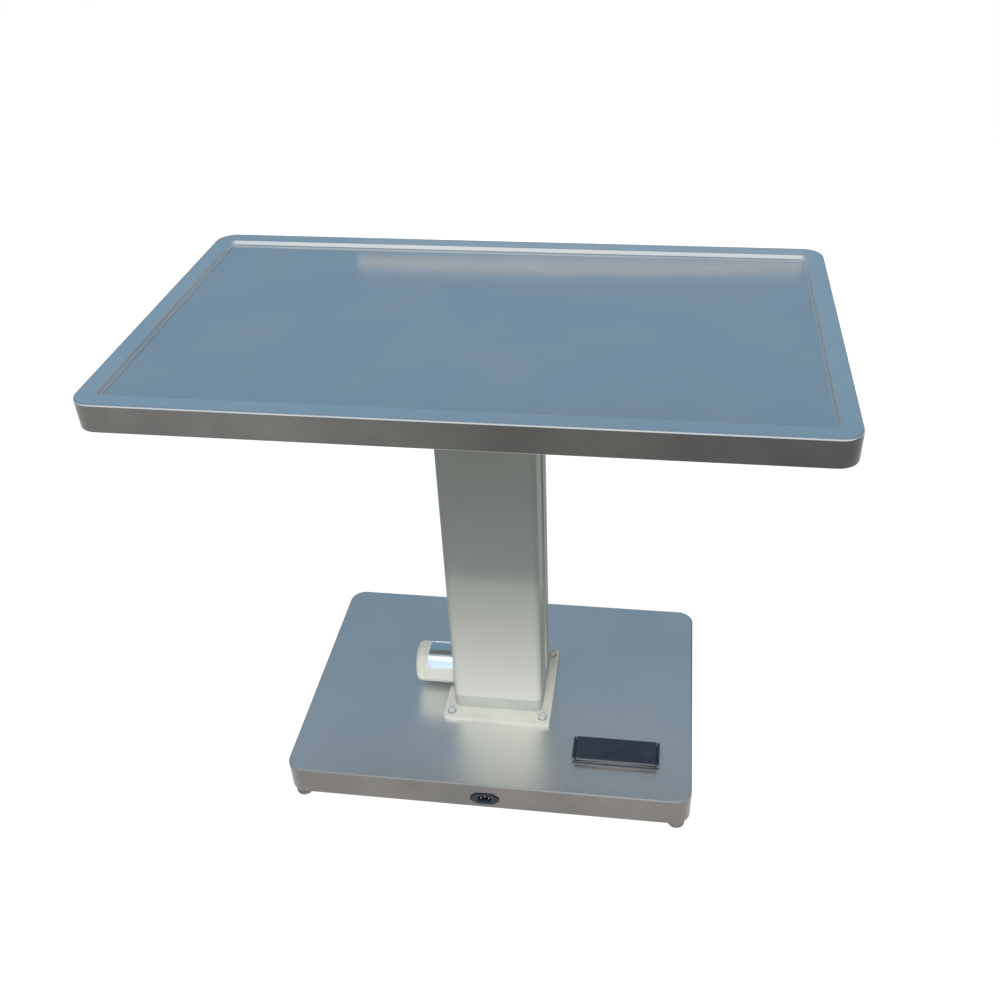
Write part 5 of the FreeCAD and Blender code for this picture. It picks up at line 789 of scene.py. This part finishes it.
def make_floor(levels):
    """A wide matt floor that is seen nearly white and keeps the object's shadow."""
    material, tree = new_material("floor_pale_matt")
    seen = surroundings_seen(tree)[1]
    level = add(tree, "ShaderNodeMath", {0: seen, 1: levels.floor_glow}, operation="MULTIPLY")
    glow = add(tree, "ShaderNodeEmission", {"Color": WHITE, "Strength": level})
    matt = add(tree, "ShaderNodeBsdfDiffuse", {"Color": linear("#7c7c7b")})
    both = add(tree, "ShaderNodeAddShader", {0: glow, 1: matt})
    add(tree, "ShaderNodeOutputMaterial", {"Surface": both})
    bm = bmesh.new()
    bmesh.ops.create_grid(bm, x_segments=1, y_segments=1, size=30.0)
    bmesh.ops.translate(bm, verts=bm.verts, vec=(0, 0, -0.4 * MM))
    floor = piece_from("floor", bm, [material])


def make_world(scene, levels):
    """White to the camera, a graded room to bright steel, and an even light to all else."""
    world = bpy.data.worlds.new("studio")
    scene.world = world
    world.use_nodes = True
    tree = world.node_tree
    tree.nodes.clear()
    way = add(tree, "ShaderNodeTexCoord").outputs["Generated"]
    way = add(tree, "ShaderNodeSeparateXYZ", {0: way}).outputs
    halves = []
    for tones in (ROOM, ROOM_AHEAD):
        half = add(tree, "ShaderNodeValToRGB", {0: way["Z"]})
        ramp = half.color_ramp.elements
        ramp.remove(ramp[1])
        ramp[0].position = tones[0][0]
        ramp[0].color = linear(tones[0][1])
        for rise, tone in tones[1:]:
            ramp.new(rise).color = linear(tone)
        halves.append(half)
    # 0 towards the sides and the back, 1 towards the front
    ahead = add(tree, "ShaderNodeMapRange", {0: way["Y"], 1: -0.05, 2: -0.50},
                interpolation_type="SMOOTHSTEP")
    room = add(tree, "ShaderNodeMix", {0: ahead, 6: halves[0], 7: halves[1]}, data_type="RGBA")
    even = add(tree, "ShaderNodeMix", {0: ahead, 6: linear(FILL_ROUND), 7: linear(FILL_AHEAD)},
               data_type="RGBA")
    path, seen = surroundings_seen(tree)
    light = add(tree, "ShaderNodeMix", {0: seen, 6: even.outputs[2], 7: room.outputs[2]}, data_type="RGBA")
    sky = add(tree, "ShaderNodeMix", {0: path["Is Camera Ray"], 6: light.outputs[2], 7: WHITE},
              data_type="RGBA")
    level = add(tree, "ShaderNodeMapRange", {0: seen, 3: levels.fill, 4: 1.0})
    background = add(tree, "ShaderNodeBackground", {"Color": sky.outputs[2], "Strength": level})
    add(tree, "ShaderNodeOutputWorld", {"Surface": background})


def make_lamps(scene, levels):
    """The lamps, each turned towards its aim."""
    for name, (kind, place, aim, level, colour, settings) in LAMPS.items():
        light = bpy.data.lights.new(name, kind)
        light.energy = getattr(levels, level)
        light.color = colour
        for key, value in settings.items():
            setattr(light, key, value)
        holder = bpy.data.objects.new(name, light)
        holder.location = place
        holder.rotation_euler = (Vector(aim) - Vector(place)).to_track_quat("-Z", "Y").to_euler()
        scene.collection.objects.link(holder)
    # it lights the back of the column, and isn't mirrored in the tray
    bpy.data.objects["behind"].visible_glossy = False


def make_camera(scene):
    """The camera, looking down on the table from the front right."""
    camera = bpy.data.cameras.new("view")
    camera.lens = CAMERA_LENS
    camera.sensor_width = 36.0
    camera.shift_x, camera.shift_y = CAMERA_SHIFT
    camera.clip_end = 100.0
    holder = bpy.data.objects.new("view", camera)
    right = Vector(CAMERA_RIGHT)
    up = Vector(CAMERA_UP)
    basis = Matrix((right, up, right.cross(up))).transposed().to_4x4()
    holder.matrix_world = Matrix.Translation(CAMERA_PLACE) @ basis
    scene.collection.objects.link(holder)
    scene.camera = holder


# ---------------------------------------------------------------- operators
class EXAMTABLE_OT_stage(bpy.types.Operator):
    """Floor, soft lights and camera"""

    bl_idname = "exam_table.stage"
    bl_label = "Stage"

    def execute(self, context):
        scene = context.scene
        make_floor(scene.exam_table_stage)
        make_world(scene, scene.exam_table_stage)
        make_lamps(scene, scene.exam_table_stage)
        make_camera(scene)
        scene.view_settings.view_transform = "Standard"
        return {"FINISHED"}


class EXAMTABLE_OT_top(bpy.types.Operator):
    """Pressed tray, its core board, the rails and bars under it, and the head plate"""

    bl_idname = "exam_table.top"
    bl_label = "Table Top"

    def execute(self, context):
        low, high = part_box("top_tray")
        half_x = high.x
        half_y = high.y
        sheet = 1.5 * MM
        hem = 14 * MM
        border = 29 * MM
        depth = 7 * MM
        run = 2.5 * MM
        edge = 3 * MM
        corner = 32 * MM
        inside = 10 * MM
        flat = border + run + 12 * MM
        lip_bends = (1.6 * MM, 1.0 * MM)
        floor_bends = (2.2 * MM, 2.0 * MM)
        outer, inner = skirt_lines(low.z, high.z, sheet, hem, edge)
        outer = bent_line(outer + [
            (border, high.z, lip_bends[0]), (border + run, high.z - depth, floor_bends[0]),
            (flat, high.z - depth, 0)])
        grow = run * (depth + sheet) / depth
        inner = bent_line(inner + [
            (border - sheet, high.z - sheet, lip_bends[1]),
            (border - sheet + grow, high.z - depth - sheet, floor_bends[1]),
            (flat, high.z - depth - sheet, 0)])
        radii = [(0, corner), (edge, corner - edge), (border, inside), (1, inside)]
        inner_radii = [(0, corner), (edge, corner - edge), (border - sheet, inside + sheet),
                       (1, inside + sheet)]
        bm = pressed_shell(half_x, half_y, outer, inner, radii, inner_radii)
        tray = piece_from("tray_pressed", bm, [finish(slot) for slot in (
            "satin_stainless", "skirt_stainless", "edge_stainless", "border_stainless", "wall_stainless")])
        # skirt, outer edges, border, and the recess's side walls at the tray's ends: the skirt's darker
        # tone is painted shade, the border's paler tone a painted sheen, and the side walls' paler tone
        # painted light
        rim = 26 * MM
        edge_zone, border_zone = 9 * MM, 0.5 * MM
        wall_lean, wall_level = 0.15, 0.995
        assign_by(tray, 1, lambda c, n: abs(n.z) < UPRIGHT and (abs(c.x) > half_x - rim
                                                                or abs(c.y) > half_y - rim))
        assign_by(tray, 2, lambda c, n: UPRIGHT <= n.z < LEVEL and c.z > high.z - edge_zone)
        assign_by(tray, 3, lambda c, n: n.z >= LEVEL and c.z > high.z - border_zone)
        assign_by(tray, 4, lambda c, n: abs(n.x) > wall_lean and UPRIGHT <= n.z < wall_level
                  and abs(c.x) < half_x - rim)
        set_piece(tray, "lift", "satin_stainless", "top_tray")
        # the tray's bright edges mirror the room, not the lamps in front
        spared = bpy.data.collections.new("spared_by_front_lamps")
        spared.objects.link(tray)
        spared.collection_objects[0].light_linking.link_state = "EXCLUDE"
        for lamp in FRONT_LAMPS:
            bpy.data.objects[lamp].light_linking.receiver_collection = spared
        dress("top_core_board", "board_screws", "subframe_rails", "subframe_crossbars", "head_plate",
              "head_plate_bolts")
        return {"FINISHED"}


class EXAMTABLE_OT_column(bpy.types.Operator):
    """Painted outer tube with its foot and top ring, and the tube that slides in it"""

    bl_idname = "exam_table.column"
    bl_label = "Column"

    def execute(self, context):
        sizes = context.scene.exam_table_sizes
        softened("outer_column_tube", sizes.paint_edge)
        softened("column_foot", sizes.paint_edge)
        softened("column_top_ring", sizes.moulded_edge)
        dress("column_screws", "inner_column_tube", "upper_glide_pads", "lower_glide_pads")
        return {"FINISHED"}


class EXAMTABLE_OT_mount(bpy.types.Operator):
    """Mount plate with its four bolts, washers and nuts"""

    bl_idname = "exam_table.mount"
    bl_label = "Mount Plate"

    def execute(self, context):
        plate = softened("mount_plate", context.scene.exam_table_sizes.paint_edge)
        # painted shade: the plate's paint is darker than the column's so that the lamps light it no
        # brighter
        plate.data.materials[0] = finish("plate_paint_shaded")
        dress("mount_plate_bolts", slot="chalky_zinc")
        dress("mount_plate_washers_and_nuts")
        middle = 85.6
        bm = bmesh.new()
        for x, y in four_places(BOLT_X, BOLT_Y):
            bm.verts.new((x * MM, y * MM, middle * MM))
        knurls = grown("plate_bolt_knurls", knurl_tree(), {
            "Count": 36, "Head Radius": 6.2 * MM, "Rib Radius": 0.36 * MM, "Height": 6.6 * MM,
            "Material": finish("chalky_zinc")}, bm)
        set_piece(knurls, "base", "zinc_plated_steel")
        return {"FINISHED"}


class EXAMTABLE_OT_motor(bpy.types.Operator):
    """Motor with its cover, the bare steel band round it, and its end cap"""

    bl_idname = "exam_table.motor"
    bl_label = "Motor"

    def execute(self, context):
        softened("motor_cover", context.scene.exam_table_sizes.moulded_edge)
        axis_z = 122
        left, right = -137, -84.5
        first, last = 25, 128
        reach, thick, corner = 38.1, 0.7, 3
        rivet_inset, rivet_turn, rivet_reach, rivet_radius = 3.5, 6, 38.9, 1.4
        bm = curved_sheet(left * MM, right * MM, axis_z * MM, reach * MM, thick * MM, first, last,
                          corner * MM)
        band = piece_from("motor_steel_band", bm, [finish("band_stainless")])
        set_piece(band, "base", "satin_stainless")
        bm = bmesh.new()
        for x in (left + rivet_inset, right - rivet_inset):
            for angle in (first + rivet_turn, last - rivet_turn):
                turn = Matrix.Rotation(math.radians(-angle), 4, "X")
                place = Vector((x, 0, axis_z)) + turn @ Vector((0, -rivet_reach, 0))
                bmesh.ops.create_uvsphere(bm, u_segments=16, v_segments=8, radius=rivet_radius * MM,
                                          matrix=Matrix.Translation(place * MM))
        rivets = piece_from("motor_band_rivets", bm, [finish("bright_steel")])
        set_piece(rivets, "base", "bright_steel")
        dress("motor_end_cap", "motor_flange", "motor_screws", "motor_can", "motor_rear_shield",
              "motor_magnets", "motor_rotor", "motor_brush_holder")
        return {"FINISHED"}


class EXAMTABLE_OT_drive(bpy.types.Operator):
    """Worm gearbox, spindle and nut inside the column"""

    bl_idname = "exam_table.drive"
    bl_label = "Drive"

    def execute(self, context):
        casting_edge = 0.8 * MM
        softened("gearbox_housing", casting_edge)
        softened("gearbox_cover", casting_edge)
        dress("gearbox_screws", "worm_shaft", "worm_wheel", "spindle", "spindle_stop_disc",
              "spindle_bearing_inner_rings", "spindle_bearing_outer_rings", "worm_bearing_inner_rings",
              "worm_bearing_outer_rings", "spindle_nut", "nut_carrier", "nut_screws")
        return {"FINISHED"}


class EXAMTABLE_OT_base(bpy.types.Operator):
    """Pressed base pan with its stiffeners, brackets and feet"""

    bl_idname = "exam_table.base"
    bl_label = "Base"

    def execute(self, context):
        low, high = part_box("base_pan")
        sheet = 1.6 * MM
        hem = 14 * MM
        edge = 3 * MM
        corner = 29 * MM
        flat = 30 * MM
        inside = 12 * MM
        outer, inner = skirt_lines(low.z, high.z, sheet, hem, edge)
        outer = bent_line(outer + [(flat, high.z, 0)])
        inner = bent_line(inner + [(flat, high.z - sheet, 0)])
        radii = [(0, corner), (edge, corner - edge), (flat, inside), (1, inside)]
        bm = pressed_shell(high.x, high.y, outer, inner, radii, radii)
        pan = piece_from("base_pan_pressed", bm, [finish(slot) for slot in (
            "base_stainless", "base_skirt_stainless", "base_edge_stainless")])
        cut(pan, self.openings())
        # skirt and pressed edge, both given darker tones as painted shade
        assign_by(pan, 1, lambda c, n: abs(n.z) < UPRIGHT)
        assign_by(pan, 2, lambda c, n: UPRIGHT <= n.z < LEVEL)
        set_piece(pan, "base", "satin_stainless", "base_pan")
        dress("reinforcement_plate", "base_channels", "corner_brackets", "feet", "foot_studs_and_nuts")
        return {"FINISHED"}

    @staticmethod
    def openings():
        """The pan's holes for feet, bolts, motor lead, foot switch and mains inlet, in millimetres."""
        up, ahead, through = (0, 0, 1), (0, 1, 0), 6
        # the middle of the sheet's thickness on top, in the hem and in front
        top, hem, front = 71.2, 15.8, -244.2
        foot_x, foot_y, foot_hole = 336, 229, 5.3
        bolt_hole, screw_x, screw_hole = 4.3, 20, 1.55
        lead_x, lead_y, lead_hole = -31, -30, 6.0
        inlet_x, inlet_z = 13.8, 10.1
        tools = [round_cutter((x, y, hem), up, foot_hole, through) for x, y in four_places(foot_x, foot_y)]
        tools += [round_cutter((x, y, top), up, bolt_hole, through)
                  for x, y in four_places(BOLT_X, BOLT_Y)]
        tools.append(round_cutter((lead_x, lead_y, top), up, lead_hole, through))
        switch = ((152.7, -172.8, 68), (297.3, -130.2, 75))
        inlet = ((-inlet_x, -249, INLET_Z - inlet_z), (inlet_x, -240, INLET_Z + inlet_z))
        tools += [box_cutter(*switch), box_cutter(*inlet)]
        tools += [round_cutter((x, front, INLET_Z), ahead, screw_hole, through)
                  for x in (-screw_x, screw_x)]
        return tools


class EXAMTABLE_OT_welds(bpy.types.Operator):
    """Weld beads under the top and inside the base"""

    bl_idname = "exam_table.welds"
    bl_label = "Welds"

    def execute(self, context):
        radius = context.scene.exam_table_sizes.weld_radius
        # both upright edges of each cross bar, where it meets a rail
        lines = []
        bar_half, bar_bottom, bar_top = 20, 794, 823
        for bar in (-380, -90, 90, 380):
            for rail in (-130, 130):
                for x in (bar - bar_half, bar + bar_half):
                    lines.append(((x, rail, bar_bottom), (x, rail, bar_top)))
        welds("crossbar_welds", lines, "lift", "zinc_plated_steel", radius)
        # the four sides of the sliding tube, under the head plate
        lines = []
        tube_x, tube_y, tube_corner, plate_z = 72, 60, 10, 783.5
        flat_x, flat_y = tube_x - tube_corner, tube_y - tube_corner
        for side in (-1, 1):
            lines.append(((side * tube_x, -flat_y, plate_z), (side * tube_x, flat_y, plate_z)))
            lines.append(((-flat_x, side * tube_y, plate_z), (flat_x, side * tube_y, plate_z)))
        welds("head_plate_welds", lines, "lift", "ground_steel_tube", radius)
        # stitches along both edges of each channel, and the corner brackets' edges on the pan and its skirt
        lines = []
        pan_z = 68.9
        channel_edges, stitches, stitch_half = (103, 133), (-200, -130, -60, 60, 130, 200), 12
        bracket_x, on_pan = 312.4, (205, 238)
        bracket_y, bracket_z, on_skirt = 241.4, 34, (316, 328)
        for side in (-1, 1):
            for x in channel_edges:
                for y in stitches:
                    lines.append(((side * x, y - stitch_half, pan_z), (side * x, y + stitch_half, pan_z)))
            for end in (-1, 1):
                lines.append([(side * bracket_x, end * y, pan_z) for y in on_pan])
                lines.append([(side * x, end * bracket_y, bracket_z) for x in on_skirt])
        welds("base_welds", lines, "base", "zinc_plated_steel", radius)
        return {"FINISHED"}


class EXAMTABLE_OT_control_box(bpy.types.Operator):
    """Control box under the base with its circuit card"""

    bl_idname = "exam_table.control_box"
    bl_label = "Control Box"

    def execute(self, context):
        softened("control_box_case", context.scene.exam_table_sizes.moulded_edge)
        dress("control_box_lid", "circuit_card")
        return {"FINISHED"}


# each lead inside the base: its length in metres and its route in millimetres, from its far end to the box
LEADS = {
    "mains_lead": (0.251, [
        (0, -215, INLET_Z), (0, -185, INLET_Z), (-20, -149, 35), (-56, -113, 32), (-94, -77, 33),
        (-130.5, -49, 39.4), (-162.5, -49, 39.4)]),
    "motor_lead": (0.251, [
        (-88, -30, 122), (-45, -30, 121), (-31, -30, 100), (-30, -31, 72), (-35, -29, 46), (-65, -22, 34),
        (-97, -12, 37), (-130.5, -6, 40.4), (-162.5, -6, 40.4)]),
    "pedal_lead": (0.443, [
        (195, -132.5, 61), (195, -102.5, 61), (179, -68.5, 48), (141, -30.5, 36), (91, 3.5, 33),
        (33, 25.5, 32), (-27, 33.5, 34), (-81, 29.5, 37), (-130.5, 19.5, 40.4), (-162.5, 19.5, 40.4)]),
}


class EXAMTABLE_OT_leads(bpy.types.Operator):
    """Mains, motor and pedal leads inside the base"""

    bl_idname = "exam_table.leads"
    bl_label = "Leads"

    def execute(self, context):
        diameter = context.scene.exam_table_sizes.lead_diameter
        for node, (long, points) in LEADS.items():
            curve = bpy.data.curves.new(node + "_sheath", "CURVE")
            curve.dimensions = "3D"
            curve.bevel_depth = diameter / 2
            curve.bevel_resolution = 4
            curve.use_fill_caps = True
            curve.resolution_u = 12
            spline = curve.splines.new("NURBS")
            spline.points.add(len(points) - 1)
            for point, place in zip(spline.points, points):
                point.co = (*[v * MM for v in place], 1.0)
            spline.order_u = 3
            spline.use_endpoint_u = True
            curve.materials.append(finish("grey_cable"))
            lead = bpy.data.objects.new(node + "_sheath", curve)
            context.scene.collection.objects.link(lead)
            set_piece(lead, "base", "grey_cable", node)
        return {"FINISHED"}


class EXAMTABLE_OT_inlet(bpy.types.Operator):
    """Mains inlet in the base's front face"""

    bl_idname = "exam_table.inlet"
    bl_label = "Mains Inlet"

    def execute(self, context):
        softened("inlet_body", context.scene.exam_table_sizes.moulded_edge)
        dress("inlet_contacts")
        dress("inlet_screws", slot="blackened_steel")
        return {"FINISHED"}


class EXAMTABLE_OT_foot_switch(bpy.types.Operator):
    """Foot switch: housing, rocker pedal with its tread, springs and microswitches"""

    bl_idname = "exam_table.foot_switch"
    bl_label = "Foot Switch"

    def execute(self, context):
        sizes = context.scene.exam_table_sizes
        low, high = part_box("rocker_pedal")
        # the front and back strips of the housing and of the pedal get a lighter grey than the black top,
        # as a painted sheen on the faces that face front and back
        sheen_facing = 0.8
        strip, strip_z, pedal_strip_z = 4 * MM, 74.2 * MM, 81 * MM
        pedal_edge = 0.4 * MM
        housing = softened("switch_housing", sizes.moulded_edge)
        housing.data.materials.append(finish("grey_plastic"))
        assign_by(housing, 1, lambda c, n: abs(n.y) > sheen_facing and low.x < c.x < high.x and c.z > strip_z
                  and not low.y + strip < c.y < high.y - strip)
        pedal = softened("rocker_pedal", pedal_edge)
        pedal.data.materials.append(finish("grey_plastic"))
        assign_by(pedal, 1, lambda c, n: abs(n.y) > sheen_facing and c.z > pedal_strip_z)
        radius = 1.1 * MM
        plain_ends, plain_sides = 12 * MM, 10 * MM
        count = int((high.x - low.x - plain_ends) / sizes.rib_pitch)
        centre = ((low.x + high.x) / 2, (low.y + high.y) / 2, high.z + sizes.rib_rise - radius)
        ribs = grown("pedal_tread_ribs", rib_tree(), {
            "Count": count, "Pitch": sizes.rib_pitch, "Radius": radius,
            "Length": high.y - low.y - plain_sides, "Centre": centre, "Material": finish("black_plastic")})
        set_piece(ribs, "pedal", "black_plastic")
        dress("pedal_pin", "pedal_springs", "microswitches")
        return {"FINISHED"}


class EXAMTABLE_PT_panel(bpy.types.Panel):
    """Buttons for every group of pieces"""

    bl_label = "Exam Table"
    bl_idname = "EXAMTABLE_PT_panel"
    bl_space_type = "VIEW_3D"
    bl_region_type = "UI"
    bl_category = "Exam Table"

    def draw(self, context):
        scene = context.scene
        column = self.layout.column()
        for step in STEPS:
            column.operator("exam_table." + step)
        for group in (scene.exam_table_looks, scene.exam_table_sizes, scene.exam_table_stage):
            for key in group.__annotations__:
                column.prop(group, key)


STEPS = ("stage", "top", "column", "mount", "motor", "drive", "base", "welds", "control_box", "leads",
         "inlet", "foot_switch")
GROUPS = {"exam_table_looks": ExamTableLooks, "exam_table_sizes": ExamTableSizes,
          "exam_table_stage": ExamTableStage}
CLASSES = (*GROUPS.values(), EXAMTABLE_OT_stage, EXAMTABLE_OT_top, EXAMTABLE_OT_column, EXAMTABLE_OT_mount,
           EXAMTABLE_OT_motor, EXAMTABLE_OT_drive, EXAMTABLE_OT_base, EXAMTABLE_OT_welds,
           EXAMTABLE_OT_control_box, EXAMTABLE_OT_leads, EXAMTABLE_OT_inlet, EXAMTABLE_OT_foot_switch,
           EXAMTABLE_PT_panel)


def register():
    """Register every class and hang the properties on the scene."""
    for item in CLASSES:
        bpy.utils.register_class(item)
    for name, group in GROUPS.items():
        setattr(bpy.types.Scene, name, bpy.props.PointerProperty(type=group))


def unregister():
    """Take the properties and classes away again."""
    for name in GROUPS:
        delattr(bpy.types.Scene, name)
    for item in reversed(CLASSES):
        bpy.utils.unregister_class(item)


def main():
    """Build every piece in order."""
    register()
    for step in STEPS:
        getattr(bpy.ops.exam_table, step)()


if __name__ == "__main__":
    main()
